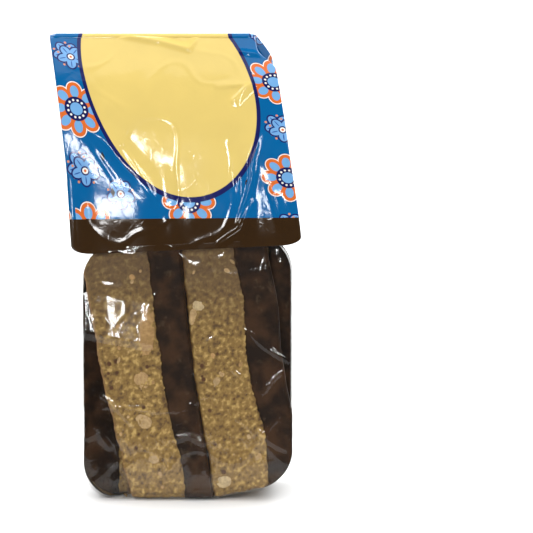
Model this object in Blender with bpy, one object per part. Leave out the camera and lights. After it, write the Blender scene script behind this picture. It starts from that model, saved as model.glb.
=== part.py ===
"""A sealed film pack of biscotti, standing upright.

The pack is a gusseted film bag with a seal ridge along each upright corner.  It is filled with
upright slices, its upper part leans to one side, and its top is folded back over a crest and lies
down the rear panel, where it ends in a crimped seal.  The pack is one closed solid of that outer
form.

Frame: metres, +Z up, origin on the flat of the base, +X to the pack's right seen from the front,
front panel facing -Y.
"""

import math

import bmesh
import bpy

# Driving dimensions, metres.
BODY_WIDTH = 0.0832          # across the filled body, corner seals left out
BODY_DEPTH = 0.0540          # four slices deep
BODY_SHIFT = -0.0006         # the body's middle lies a little left of the origin
CLEAR_HEIGHT = 0.1000        # clear film, from the base up to the printed film
SLICE_HEIGHT = 0.1400        # upper ends of the slices inside
CREST_HEIGHT = 0.1850        # crest over which the top is folded back
CREST_DEPTH = 0.0040         # front to back through the film at the crest
CREST_Y = -0.0040            # the crest stands a little in front of the middle
FLAP_LENGTH = 0.0660         # film beyond the crest, down the rear
FLAP_THICKNESS = 0.0020      # four layers of film with air between them
FLAP_SINK = 0.0006           # the flap and the body share this much, so that they are one solid
PRINTED_SEAL_WIDTH = 0.0038  # corner seals of the printed part stand this far out of the sides
CLEAR_SEAL_WIDTH = 0.0014    # those of the clear part lie nearly flat against the body
SEAL_THICKNESS = 0.0010
SEAL_CORNER_RADIUS = 0.0034  # the printed seals' lower corners are round
BASE_CORNER_RADIUS = 0.0150  # lower corners, seen from the front
BASE_EDGE_RADIUS = 0.0060    # lower front and rear edges
CRIMP_HEIGHT = 0.0120        # crimped seal at the flap's end
CRIMP_COUNT = 6
CRIMP_THINNING = 0.7         # thickness in a crimp's groove, as a share of the flap's
CREST_RADIUS = 0.0013        # turn of the flap's middle line over the crest
CREST_TURN = math.radians(135)
FLAP_START = 0.0045          # the flap lies on the rear panel from here on, past its turn

# Shape of the leaning top.
LEAN_SLOPE = 0.076           # sideways run per rise just above the clear film
LEAN_CURL = 0.061            # what is added to that slope by the crest
TOP_TAPER = 0.0010           # each side of the printed part comes in by this much
SHOULDER_DEPTH = 0.0046      # the clear film's sides round in below the printed film
SHOULDER_HEIGHT = 0.0120
SHOULDER_POWER = 2.5
NOTCH_DEPTH = 0.0060         # the right-hand seal is bent in below the crest
NOTCH_HEIGHT = 0.1715
NOTCH_REACH = 0.0085

# Shape of the base and the sides.
BASE_RISE_SLOPE = 0.21       # the base climbs to the right of the flat
BASE_FLAT_RIGHT = 0.0090
BASE_RISE_FADE = 0.0600      # the rise is gone at this height
BAND_TILT = 0.044            # the printed film's lower edge climbs to the right
BAND_TILT_REACH = 0.0450     # that tilt is gone this far above and below the edge
GUSSET_DEPTH = 0.0110        # deepest fold of the side gussets, above the slices
SEAM_WIDTH = 0.0120          # lap seam down the middle of the rear panel
SEAM_STEP = 0.0008
FRONT_BOW = 2.6              # power of the front panel's curve towards the crest
REAR_BOW = 1.5               # power of the rear panel's curve towards the crest
SLICE_LEAN = 0.150           # the slices' upper ends lean to the left
SLICE_PITCH = 0.0356         # from one slice to the next across the front
SLICE_RELIEF = 0.0007        # the film dips by this much between two slices
LAYER_COUNT = 4              # slices from front to rear
LAYER_RELIEF = 0.0006
RELIEF_BASE = 0.0060         # the relief begins above the base's round edge
RELIEF_FADE = 0.0150
REAR_RELIEF_TOP = 0.1050     # below the folded flap

# Mesh density.
PANEL_SEGMENTS = 20
SIDE_SEGMENTS = 12
BASE_RINGS = 4
CORNER_RINGS = 6
WALL_RINGS = 9
SHOULDER_RINGS = 5
STEP_RINGS = 4
TOP_RINGS = 15
FLAP_SEGMENTS = 12
FLAP_STATIONS = 11
CREST_STATIONS = 6
WALK_STEP = 0.0001           # step for measuring runs of film down the rear panel


def clear_scene():
    """Remove every object, so that the model starts from nothing."""
    for item in list(bpy.data.objects):
        bpy.data.objects.remove(item, do_unlink=True)


def smoothstep(value, low, high):
    """Rise smoothly from 0 at low to 1 at high."""
    share = min(max((value - low) / (high - low), 0.0), 1.0)
    return share * share * (3.0 - 2.0 * share)


def corner_inset(height, radius):
    """Inset of a round lower corner at a height above its lowest line."""
    if height >= radius:
        return 0.0
    return radius - math.sqrt(radius ** 2 - (radius - height) ** 2)


def lean(height):
    """Sideways place of the pack's middle line at a height."""
    run = max(height - CLEAR_HEIGHT, 0.0)
    full_run = CREST_HEIGHT - CLEAR_HEIGHT
    return BODY_SHIFT - LEAN_SLOPE * run - LEAN_CURL * run * run / full_run


def seal_corner(height):
    """Round lower corner of the printed seals, from 0 at the clear film to 1 at full width."""
    share = min(max((height - CLEAR_HEIGHT) / SEAL_CORNER_RADIUS, 0.0), 1.0)
    return math.sqrt(1.0 - (1.0 - share) ** 2)


def shoulder_inset(height):
    """How far the clear film's sides round in below the printed film."""
    if height > CLEAR_HEIGHT:
        return SHOULDER_DEPTH * (1.0 - seal_corner(height))
    climb = max(height - CLEAR_HEIGHT + SHOULDER_HEIGHT, 0.0) / SHOULDER_HEIGHT
    return SHOULDER_DEPTH * climb ** SHOULDER_POWER


def seal_width(height):
    """How far the corner seals stand out at a height."""
    width = CLEAR_SEAL_WIDTH + (PRINTED_SEAL_WIDTH - CLEAR_SEAL_WIDTH) * seal_corner(height)
    return width * smoothstep(height, 0.0, BASE_CORNER_RADIUS)


def side_edges(height):
    """Left and right sides of the body, without the corner seals."""
    taper = TOP_TAPER * smoothstep(height, CLEAR_HEIGHT, SLICE_HEIGHT)
    half = BODY_WIDTH / 2 - corner_inset(height, BASE_CORNER_RADIUS) - shoulder_inset(height) - taper
    notch = NOTCH_DEPTH * smoothstep(height, NOTCH_HEIGHT, NOTCH_HEIGHT + NOTCH_REACH)
    middle = lean(height)
    return middle - half, middle + half - notch


def panel_faces(height):
    """Front and rear y of the body at a height."""
    edge = corner_inset(height, BASE_EDGE_RADIUS)
    run_up = max(height - CLEAR_HEIGHT, 0.0) / (CREST_HEIGHT - CLEAR_HEIGHT)
    run_back = max(height - SLICE_HEIGHT, 0.0) / (CREST_HEIGHT - SLICE_HEIGHT)
    crest_front = CREST_Y - CREST_DEPTH / 2
    crest_rear = CREST_Y + CREST_DEPTH / 2
    front = -BODY_DEPTH / 2 + edge + (crest_front + BODY_DEPTH / 2) * run_up ** FRONT_BOW
    rear = BODY_DEPTH / 2 - edge + (crest_rear - BODY_DEPTH / 2) * run_back ** REAR_BOW
    return front, rear


def relief_share(height, top):
    """How much of the film's relief over the slices shows at a height."""
    rising = smoothstep(height, RELIEF_BASE, RELIEF_BASE + RELIEF_FADE)
    return rising * (1.0 - smoothstep(height, top - RELIEF_FADE, top))


def panel_dip(x, height, top):
    """Dip of the front or rear film between two leaning slices."""
    along = (x + SLICE_LEAN * (height - CLEAR_HEIGHT / 2)) / SLICE_PITCH
    return SLICE_RELIEF * relief_share(height, top) * math.cos(math.pi * along) ** 8


def side_dip(share, height):
    """Dip of the side film between two layers, at a share of the depth."""
    wave = abs(math.sin(math.pi * LAYER_COUNT * share))
    return LAYER_RELIEF * relief_share(height, SLICE_HEIGHT) * (1.0 - wave)


def gusset_fold(height):
    """How far the middle of each side is folded in at a height."""
    share = max(height - SLICE_HEIGHT, 0.0) / (CREST_HEIGHT - SLICE_HEIGHT)
    return GUSSET_DEPTH * math.sin(math.pi * share) ** 0.8 if 0.0 < share < 1.0 else 0.0


def base_lift(x, height):
    """How far the low parts of the pack are raised to the right of its flat base."""
    fade = max(1.0 - height / BASE_RISE_FADE, 0.0)
    return BASE_RISE_SLOPE * max(x - BASE_FLAT_RIGHT, 0.0) * fade


def band_lift(x, height):
    """How far the pack is raised at x by the tilt of the printed film's lower edge."""
    share = 1.0 - abs(height - CLEAR_HEIGHT) / BAND_TILT_REACH
    return BAND_TILT * x * max(share, 0.0)


def spread(start, end, count):
    """Evenly spaced values from start up to but without end."""
    return [start + (end - start) * index / count for index in range(count)]


def side_points(edge, inwards, height):
    """Points of one side between its two corner seals, from front to rear."""
    front, rear = panel_faces(height)
    thickness = min(SEAL_THICKNESS, 0.25 * (rear - front))
    fold = gusset_fold(height)
    points = []
    for index in range(SIDE_SEGMENTS + 1):
        share = index / SIDE_SEGMENTS
        y = front + thickness + (rear - front - 2 * thickness) * share
        inset = fold * (1.0 - abs(2.0 * share - 1.0)) + side_dip(share, height)
        points.append((edge + inwards * inset, y))
    return points


def rear_points(left, right, height):
    """Points of the rear panel between its seals' outer edges, from right to left."""
    rear = panel_faces(height)[1]
    step = SEAM_STEP * smoothstep(height, 0.0, BASE_EDGE_RADIUS)
    seam_right = lean(height) + SEAM_WIDTH / 2
    seam_left = seam_right - SEAM_WIDTH
    half_count = PANEL_SEGMENTS // 2
    points = [(x, rear) for x in spread(right, seam_right + step, half_count)]
    points += [(seam_right + step, rear), (seam_right, rear + step)]
    points += [(seam_left, rear + step), (seam_left - step, rear)]
    points += [(x, rear) for x in spread(left, seam_left - step, half_count)[::-1]]
    seam_span = SEAM_WIDTH / 2 + step
    relieved = []
    for x, y in points:
        beside_seam = smoothstep(abs(x - lean(height)), seam_span, seam_span + 2 * SEAM_STEP)
        relieved.append((x, y - panel_dip(x, height, REAR_RELIEF_TOP) * beside_seam))
    return relieved


def ring_outline(height):
    """Outline of the pack at a height, counter-clockwise from above, as (x, y) pairs."""
    left, right = side_edges(height)
    front = panel_faces(height)[0]
    seal = seal_width(height)
    xs = spread(left - seal, right + seal, PANEL_SEGMENTS) + [right + seal]
    outline = [(x, front + panel_dip(x, height, SLICE_HEIGHT)) for x in xs]
    outline += side_points(right, -1.0, height)
    outline += rear_points(left - seal, right + seal, height)
    outline += side_points(left, 1.0, height)[::-1]
    return outline


def ring_heights():
    """Heights of the body's outlines, closer where the form turns."""
    heights = []
    for index in range(CORNER_RINGS):
        angle = math.pi / 2 * index / CORNER_RINGS
        heights.append(BASE_CORNER_RADIUS * (1.0 - math.cos(angle)))
    shoulder = CLEAR_HEIGHT - SHOULDER_HEIGHT
    step_top = CLEAR_HEIGHT + SEAL_CORNER_RADIUS
    heights += spread(BASE_CORNER_RADIUS, shoulder, WALL_RINGS)
    heights += spread(shoulder, CLEAR_HEIGHT, SHOULDER_RINGS)
    heights += spread(CLEAR_HEIGHT, step_top, STEP_RINGS)
    heights += spread(step_top, CREST_HEIGHT, TOP_RINGS)
    heights.append(CREST_HEIGHT)
    return heights


def bridge(mesh, lower, upper):
    """Join two rings of vertices with a band of quads that face outwards."""
    count = len(lower)
    for index in range(count):
        after = (index + 1) % count
        mesh.faces.new((lower[index], lower[after], upper[after], upper[index]))


def body_mesh():
    """The filled bag with its corner seals, up to the crest, as a closed bmesh."""
    mesh = bmesh.new()
    base = ring_outline(0.0)
    middle = lean(0.0)
    centre = mesh.verts.new((middle, 0.0, 0.0))
    rings = []
    for index in range(1, BASE_RINGS):
        share = index / BASE_RINGS
        ring = []
        for x, y in base:
            inner_x = middle + (x - middle) * share
            ring.append(mesh.verts.new((inner_x, y * share, base_lift(inner_x, 0.0))))
        rings.append(ring)
    for height in ring_heights():
        ring = []
        for x, y in ring_outline(height):
            lift = base_lift(x, height) + band_lift(x, height)
            ring.append(mesh.verts.new((x, y, height + lift)))
        rings.append(ring)
    count = len(base)
    for index in range(count):
        mesh.faces.new((centre, rings[0][(index + 1) % count], rings[0][index]))
    for lower, upper in zip(rings, rings[1:]):
        bridge(mesh, lower, upper)
    mesh.faces.new(rings[-1])
    return mesh


def rear_point(run):
    """Place and outward normal on the rear panel, a run of film below the crest, as (y, z) pairs."""
    height = CREST_HEIGHT
    y = panel_faces(height)[1]
    walked = 0.0
    while True:
        next_y = panel_faces(height - WALK_STEP)[1]
        stride = math.hypot(next_y - y, WALK_STEP)
        walked += stride
        if walked >= run:
            return (y, height), (WALK_STEP / stride, (next_y - y) / stride)
        height -= WALK_STEP
        y = next_y


def crest_points():
    """Middle line of the flap where it turns over the crest, as (y, z) pairs."""
    points = []
    for index in range(CREST_STATIONS):
        angle = CREST_TURN * index / (CREST_STATIONS - 1)
        y = CREST_Y - CREST_RADIUS * math.cos(angle)
        points.append((y, CREST_HEIGHT - FLAP_SINK + CREST_RADIUS * math.sin(angle)))
    return points


def flap_stations():
    """The flap's outlines beyond the crest, as (run of film, thickness) pairs."""
    crimp_start = FLAP_LENGTH - CRIMP_HEIGHT
    stations = [(run, FLAP_THICKNESS) for run in spread(FLAP_START, crimp_start, FLAP_STATIONS)]
    for index in range(2 * CRIMP_COUNT + 1):
        run = crimp_start + CRIMP_HEIGHT * index / (2 * CRIMP_COUNT)
        groove = index % 2 == 1
        stations.append((run, FLAP_THICKNESS * (CRIMP_THINNING if groove else 1.0)))
    return stations


def flap_path():
    """Middle line of the whole flap as (y, z, thickness), from inside the crest to its end."""
    path = [(y, z, FLAP_THICKNESS) for y, z in crest_points()]
    offset = FLAP_THICKNESS / 2 - FLAP_SINK
    for run, thickness in flap_stations():
        (y, z), (out_y, out_z) = rear_point(run)
        path.append((y + out_y * offset, z + out_z * offset, thickness))
    return path


def flap_outline(run, y, z, outward, thickness):
    """Outline across the flap at one station, as (x, y, z) points."""
    left, right = side_edges(CREST_HEIGHT)
    shift = LEAN_SLOPE * run
    unbent = NOTCH_DEPTH * smoothstep(run, 0.0, 2 * NOTCH_REACH)
    left += shift - PRINTED_SEAL_WIDTH
    right += shift + PRINTED_SEAL_WIDTH + unbent
    xs = spread(left, right, FLAP_SEGMENTS) + [right]
    out_y = outward[0] * thickness / 2
    out_z = outward[1] * thickness / 2
    outer = [(x, y + out_y, z + out_z) for x in xs]
    inner = [(x, y - out_y, z - out_z) for x in reversed(xs)]
    return outer + inner


def flap_mesh():
    """The top flap, folded over the crest and down the rear, as a closed bmesh."""
    mesh = bmesh.new()
    path = flap_path()
    rings = []
    run = 0.0
    for index, (y, z, thickness) in enumerate(path):
        before = path[max(index - 1, 0)]
        after = path[min(index + 1, len(path) - 1)]
        run += math.hypot(y - before[0], z - before[1])
        tangent_y = after[0] - before[0]
        tangent_z = after[1] - before[1]
        size = math.hypot(tangent_y, tangent_z)
        outward = (-tangent_z / size, tangent_y / size)
        rings.append([mesh.verts.new(point) for point in flap_outline(run, y, z, outward, thickness)])
    for lower, upper in zip(rings, rings[1:]):
        bridge(mesh, lower, upper)
    mesh.faces.new(rings[-1])
    mesh.faces.new(list(reversed(rings[0])))
    return mesh


def to_object(name, mesh):
    """Turn a bmesh into a scene object with outward normals."""
    bmesh.ops.recalc_face_normals(mesh, faces=mesh.faces)
    data = bpy.data.meshes.new(name)
    mesh.to_mesh(data)
    mesh.free()
    item = bpy.data.objects.new(name, data)
    bpy.context.scene.collection.objects.link(item)
    return item


def film_material():
    """Printed pack film over browned slices, as one plain finish."""
    material = bpy.data.materials.new("pack_film")
    material.use_nodes = True
    shader = material.node_tree.nodes["Principled BSDF"]
    shader.inputs["Base Color"].default_value = (0.20, 0.22, 0.24, 1.0)
    shader.inputs["Roughness"].default_value = 0.25
    shader.inputs["Metallic"].default_value = 0.0
    return material


def build():
    """Model the pack as one solid."""
    clear_scene()
    bag = to_object("bag", body_mesh())
    flap = to_object("flap_tool", flap_mesh())
    flap.hide_render = True
    flap.display_type = "WIRE"
    union = bag.modifiers.new("folded_flap", "BOOLEAN")
    union.operation = "UNION"
    union.solver = "EXACT"
    union.object = flap
    bag.data.materials.append(film_material())
    bag.data.shade_smooth()
    bag.data.set_sharp_from_angle(angle=math.radians(35))


build()
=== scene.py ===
"""Looks of a sealed film pack of chocolate-dipped almond biscotti, standing upright.

Lengths are the pack's millimetres, which MM turns into the frame's metres.  +X is to the pack's
right seen from the front, the front panel faces -Y and +Z is up.  The printed film and the clear
film are thin shells, and eight slices, their dipped bases, almond pieces and crumbs stand inside.
"""

import logging
import math
from collections.abc import Sequence
from dataclasses import dataclass, field
from enum import Enum

import bpy
import numpy as np
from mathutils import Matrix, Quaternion, Vector


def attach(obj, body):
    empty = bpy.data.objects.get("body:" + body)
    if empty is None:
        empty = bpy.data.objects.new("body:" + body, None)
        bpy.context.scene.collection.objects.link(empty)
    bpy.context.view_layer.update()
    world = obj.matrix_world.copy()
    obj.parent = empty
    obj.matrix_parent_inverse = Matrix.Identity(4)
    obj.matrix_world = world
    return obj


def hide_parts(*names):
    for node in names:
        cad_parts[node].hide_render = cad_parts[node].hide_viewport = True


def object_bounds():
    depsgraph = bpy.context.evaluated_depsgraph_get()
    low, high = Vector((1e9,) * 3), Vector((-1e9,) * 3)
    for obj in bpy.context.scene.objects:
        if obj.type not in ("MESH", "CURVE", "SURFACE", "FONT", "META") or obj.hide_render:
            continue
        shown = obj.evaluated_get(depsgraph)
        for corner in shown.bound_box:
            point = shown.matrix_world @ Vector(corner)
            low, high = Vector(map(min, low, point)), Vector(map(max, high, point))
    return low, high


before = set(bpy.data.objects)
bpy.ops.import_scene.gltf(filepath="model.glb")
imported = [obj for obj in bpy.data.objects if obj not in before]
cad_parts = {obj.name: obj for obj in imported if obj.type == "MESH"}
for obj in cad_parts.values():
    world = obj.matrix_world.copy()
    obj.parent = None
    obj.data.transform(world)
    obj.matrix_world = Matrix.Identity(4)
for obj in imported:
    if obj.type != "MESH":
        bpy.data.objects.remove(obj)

CAD_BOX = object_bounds()
PACK_HEIGHT = 186.7
MM = (CAD_BOX[1].z - CAD_BOX[0].z) / PACK_HEIGHT
CHART = "film_map"
CHART_UNIT = 100.0

LOG = logging.getLogger("pack")

Knots = Sequence[tuple[float, float]]
Colour = tuple[float, float, float, float]
Measure = float | np.ndarray


class Slot(Enum):
    """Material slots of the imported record."""

    PRINTED = "printed_film"
    CLEAR = "clear_film"
    BISCUIT = "biscuit"
    CHOCOLATE = "chocolate"
    ALMOND = "almond"


class Sort(Enum):
    """Sorts of socket that a node group can have."""

    VALUE = "NodeSocketFloat"
    COUNT = "NodeSocketInt"
    VECTOR = "NodeSocketVector"
    COLOUR = "NodeSocketColor"
    GEOMETRY = "NodeSocketGeometry"
    MATERIAL = "NodeSocketMaterial"


class Side(Enum):
    """Side of a slice that its dipped base faces."""

    LEFT = -1.0
    RIGHT = 1.0


def ink(red: int, green: int, blue: int) -> Colour:
    """Turn a display colour into the linear colour that a shader takes.

    Args:
        red: Red, 0 to 255.
        green: Green, 0 to 255.
        blue: Blue, 0 to 255.

    Returns:
        Linear colour.
    """
    levels = [level / 255.0 for level in (red, green, blue)]
    linear = [v / 12.92 if v <= 0.04045 else ((v + 0.055) / 1.055) ** 2.4 for v in levels]
    return linear[0], linear[1], linear[2], 1.0


def smoothstep(value: Measure, low: float, high: float) -> Measure:
    """Rise smoothly from 0 at low to 1 at high, for a number or an array."""
    share = np.clip((value - low) / (high - low), 0.0, 1.0)
    return share * share * (3.0 - 2.0 * share)


def corner_inset(height: Measure, radius: float) -> Measure:
    """Inset of a round lower corner at a height above its lowest line."""
    rise = np.clip(radius - height, 0.0, radius)
    return radius - np.sqrt(radius**2 - rise**2)


def smooth_curve(knots: Knots, at: np.ndarray) -> np.ndarray:
    """Read a smooth curve through a few knots.

    Args:
        knots: Pairs of place and value, in rising order of place.
        at: Places to read.

    Returns:
        The curve's value at each place.
    """
    places, values = np.array(knots, float).T
    slopes = np.gradient(values, places)
    spot = np.clip(np.searchsorted(places, at) - 1, 0, len(places) - 2)
    span = places[spot + 1] - places[spot]
    t = np.clip((at - places[spot]) / span, 0.0, 1.0)
    start = (2 * t**3 - 3 * t**2 + 1) * values[spot] + (t**3 - 2 * t**2 + t) * span * slopes[spot]
    end = (3 * t**2 - 2 * t**3) * values[spot + 1] + (t**3 - t**2) * span * slopes[spot + 1]
    return start + end


def soft_noise(count: int, reach: float, seed: int) -> np.ndarray:
    """Smooth random values along a line.

    Args:
        count: How many values.
        reach: Over how many values one bump runs.
        seed: Seed of the random draw.

    Returns:
        Values of about -1 to 1.
    """
    draws = np.random.default_rng(seed).uniform(-1.0, 1.0, int(count / reach) + 4)
    knots = list(enumerate(draws))
    return smooth_curve(knots, np.arange(count) / reach + 1.0)


# --- node trees


class Term:
    """One value in a node tree; arithmetic on it writes math nodes."""

    def __init__(self, graph: "Graph", socket: bpy.types.NodeSocket) -> None:
        """Hold a socket and the graph that it belongs to."""
        self.graph = graph
        self.socket = socket

    def __add__(self, other: "Term | float") -> "Term":
        """Sum of two values."""
        return self.graph.math("ADD", self, other)

    def __sub__(self, other: "Term | float") -> "Term":
        """Difference of two values."""
        return self.graph.math("SUBTRACT", self, other)

    def __rsub__(self, other: float) -> "Term":
        """Difference of a number and this value."""
        return self.graph.math("SUBTRACT", other, self)

    def __mul__(self, other: "Term | float") -> "Term":
        """Product of two values."""
        return self.graph.math("MULTIPLY", self, other)

    def __truediv__(self, other: "Term | float") -> "Term":
        """Quotient of two values."""
        return self.graph.math("DIVIDE", self, other)


class Graph:
    """Writes the nodes of one tree."""

    def __init__(self, tree: bpy.types.NodeTree) -> None:
        """Start on a tree, of which only a group has an entry and an exit.

        Args:
            tree: The tree.
        """
        self.tree = tree
        self.entry: bpy.types.Node | None = None
        self.exit: bpy.types.Node | None = None

    @classmethod
    def group(
        cls,
        name: str,
        kind: str,
        inputs: dict[str, tuple[Sort, object]],
        outputs: dict[str, Sort],
    ) -> "Graph":
        """Open a new node group with named inputs and outputs.

        Args:
            name: Name of the group.
            kind: ShaderNodeTree or GeometryNodeTree.
            inputs: Sort and default of each input.
            outputs: Sort of each output.

        Returns:
            Graph of the empty group.
        """
        tree = bpy.data.node_groups.new(name, kind)
        for label, (sort, default) in inputs.items():
            socket = tree.interface.new_socket(label, in_out="INPUT", socket_type=sort.value)
            if default is not None:
                socket.default_value = default
        for label, sort in outputs.items():
            tree.interface.new_socket(label, in_out="OUTPUT", socket_type=sort.value)
        graph = cls(tree)
        graph.entry = tree.nodes.new("NodeGroupInput")
        graph.exit = tree.nodes.new("NodeGroupOutput")
        return graph

    def given(self, label: str) -> Term:
        """Value of one of the group's inputs."""
        return Term(self, self.entry.outputs[label])

    def give(self, label: str, term: Term) -> None:
        """Send a value to one of the group's outputs."""
        self.tree.links.new(term.socket, self.exit.inputs[label])

    def feed(self, socket: bpy.types.NodeSocket, value: object) -> None:
        """Link a term to a socket, or set the socket's own value.

        Args:
            socket: Input socket.
            value: Term, or a plain value.
        """
        if isinstance(value, Term):
            self.tree.links.new(value.socket, socket)
        else:
            socket.default_value = value

    def node(self, kind: str, inputs: dict | None = None, **settings: object) -> bpy.types.Node:
        """Add a node.

        Args:
            kind: Node type.
            inputs: Values or terms by the input's name or index.
            settings: Properties of the node itself.

        Returns:
            The new node.
        """
        made = self.tree.nodes.new(kind)
        for name, value in settings.items():
            setattr(made, name, value)
        for key, value in (inputs or {}).items():
            self.feed(made.inputs[key], value)
        return made

    def read(self, kind: str, output: str | int, inputs: dict | None = None, **settings: object) -> Term:
        """Add a node and return one of its outputs."""
        return Term(self, self.node(kind, inputs, **settings).outputs[output])

    def math(self, operation: str, *values: Term | float) -> Term:
        """Add a math node."""
        return self.read("ShaderNodeMath", 0, dict(enumerate(values)), operation=operation)

    def rise(self, value: Term, low: float, high: float) -> Term:
        """Smooth mask from 0 at low to 1 at high; it falls where low is above high."""
        inputs = {"Value": value, "From Min": low, "From Max": high}
        return self.read("ShaderNodeMapRange", 0, inputs, interpolation_type="SMOOTHSTEP")

    def blend(self, share: Term | float, first: Term | Colour, second: Term | Colour) -> Term:
        """Colour between two colours."""
        return self.read("ShaderNodeMix", 2, {0: share, 6: first, 7: second}, data_type="RGBA")

    def printed(self, ground: Term | Colour, inks: Sequence[tuple[Term, float, float, Colour]]) -> Term:
        """Colour of inks laid over a ground one by one.

        Args:
            ground: Colour of the ground.
            inks: Measure, its value with no ink, its value with full ink, and the ink.

        Returns:
            Colour of the whole.
        """
        for measure, low, high, over in inks:
            ground = self.blend(self.rise(measure, low, high), ground, over)
        return ground

    def toned(self, colour: Term, value: float, saturation: float) -> Term:
        """Colour with its value and its saturation multiplied."""
        inputs = {"Color": colour, "Value": value, "Saturation": saturation}
        return self.read("ShaderNodeHueSaturation", "Color", inputs)

    def vector(self, x: Term | float, y: Term | float, z: Term | float = 0.0) -> Term:
        """Vector from three values."""
        return self.read("ShaderNodeCombineXYZ", 0, {0: x, 1: y, 2: z})

    def parts(self, vector: Term) -> tuple[Term, Term, Term]:
        """The three values of a vector."""
        node = self.node("ShaderNodeSeparateXYZ", {0: vector})
        return Term(self, node.outputs[0]), Term(self, node.outputs[1]), Term(self, node.outputs[2])

    def bend(self, operation: str, *values: object) -> Term:
        """Add a vector math node."""
        return self.read("ShaderNodeVectorMath", 0, dict(enumerate(values)), operation=operation)

    def scaled(self, vector: Term, share: Term | float) -> Term:
        """Vector times a value."""
        return self.read("ShaderNodeVectorMath", 0, {0: vector, "Scale": share}, operation="SCALE")

    def noise(self, place: Term, size: Term | float, detail: float = 2.0, roughness: float = 0.5) -> Term:
        """Noise of 0 to 1 whose bumps have the given size in metres.

        Args:
            place: Place of each point.
            size: Size of a bump.
            detail: Finer octaves.
            roughness: Share of the finer octaves.

        Returns:
            The noise.
        """
        scale = self.math("DIVIDE", 1.0, size)
        inputs = {"Vector": place, "Scale": scale, "Detail": detail, "Roughness": roughness}
        return self.read("ShaderNodeTexNoise", 0, inputs)

    def cells(self, place: Term, size: Term | float, output: str = "Distance") -> Term:
        """Distance to the middle of random cells, as a share of the given size in metres."""
        scale = self.math("DIVIDE", 1.0, size)
        return self.read("ShaderNodeTexVoronoi", output, {"Vector": place, "Scale": scale})

    def use(self, group: bpy.types.NodeTree, inputs: dict[str, object]) -> bpy.types.Node:
        """Place a shader group.

        Args:
            group: The group.
            inputs: Values or terms by the input's name.

        Returns:
            Node of the group.
        """
        made = self.tree.nodes.new("ShaderNodeGroup")
        made.node_tree = group
        for key, value in inputs.items():
            self.feed(made.inputs[key], value)
        return made


# --- shader groups


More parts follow.
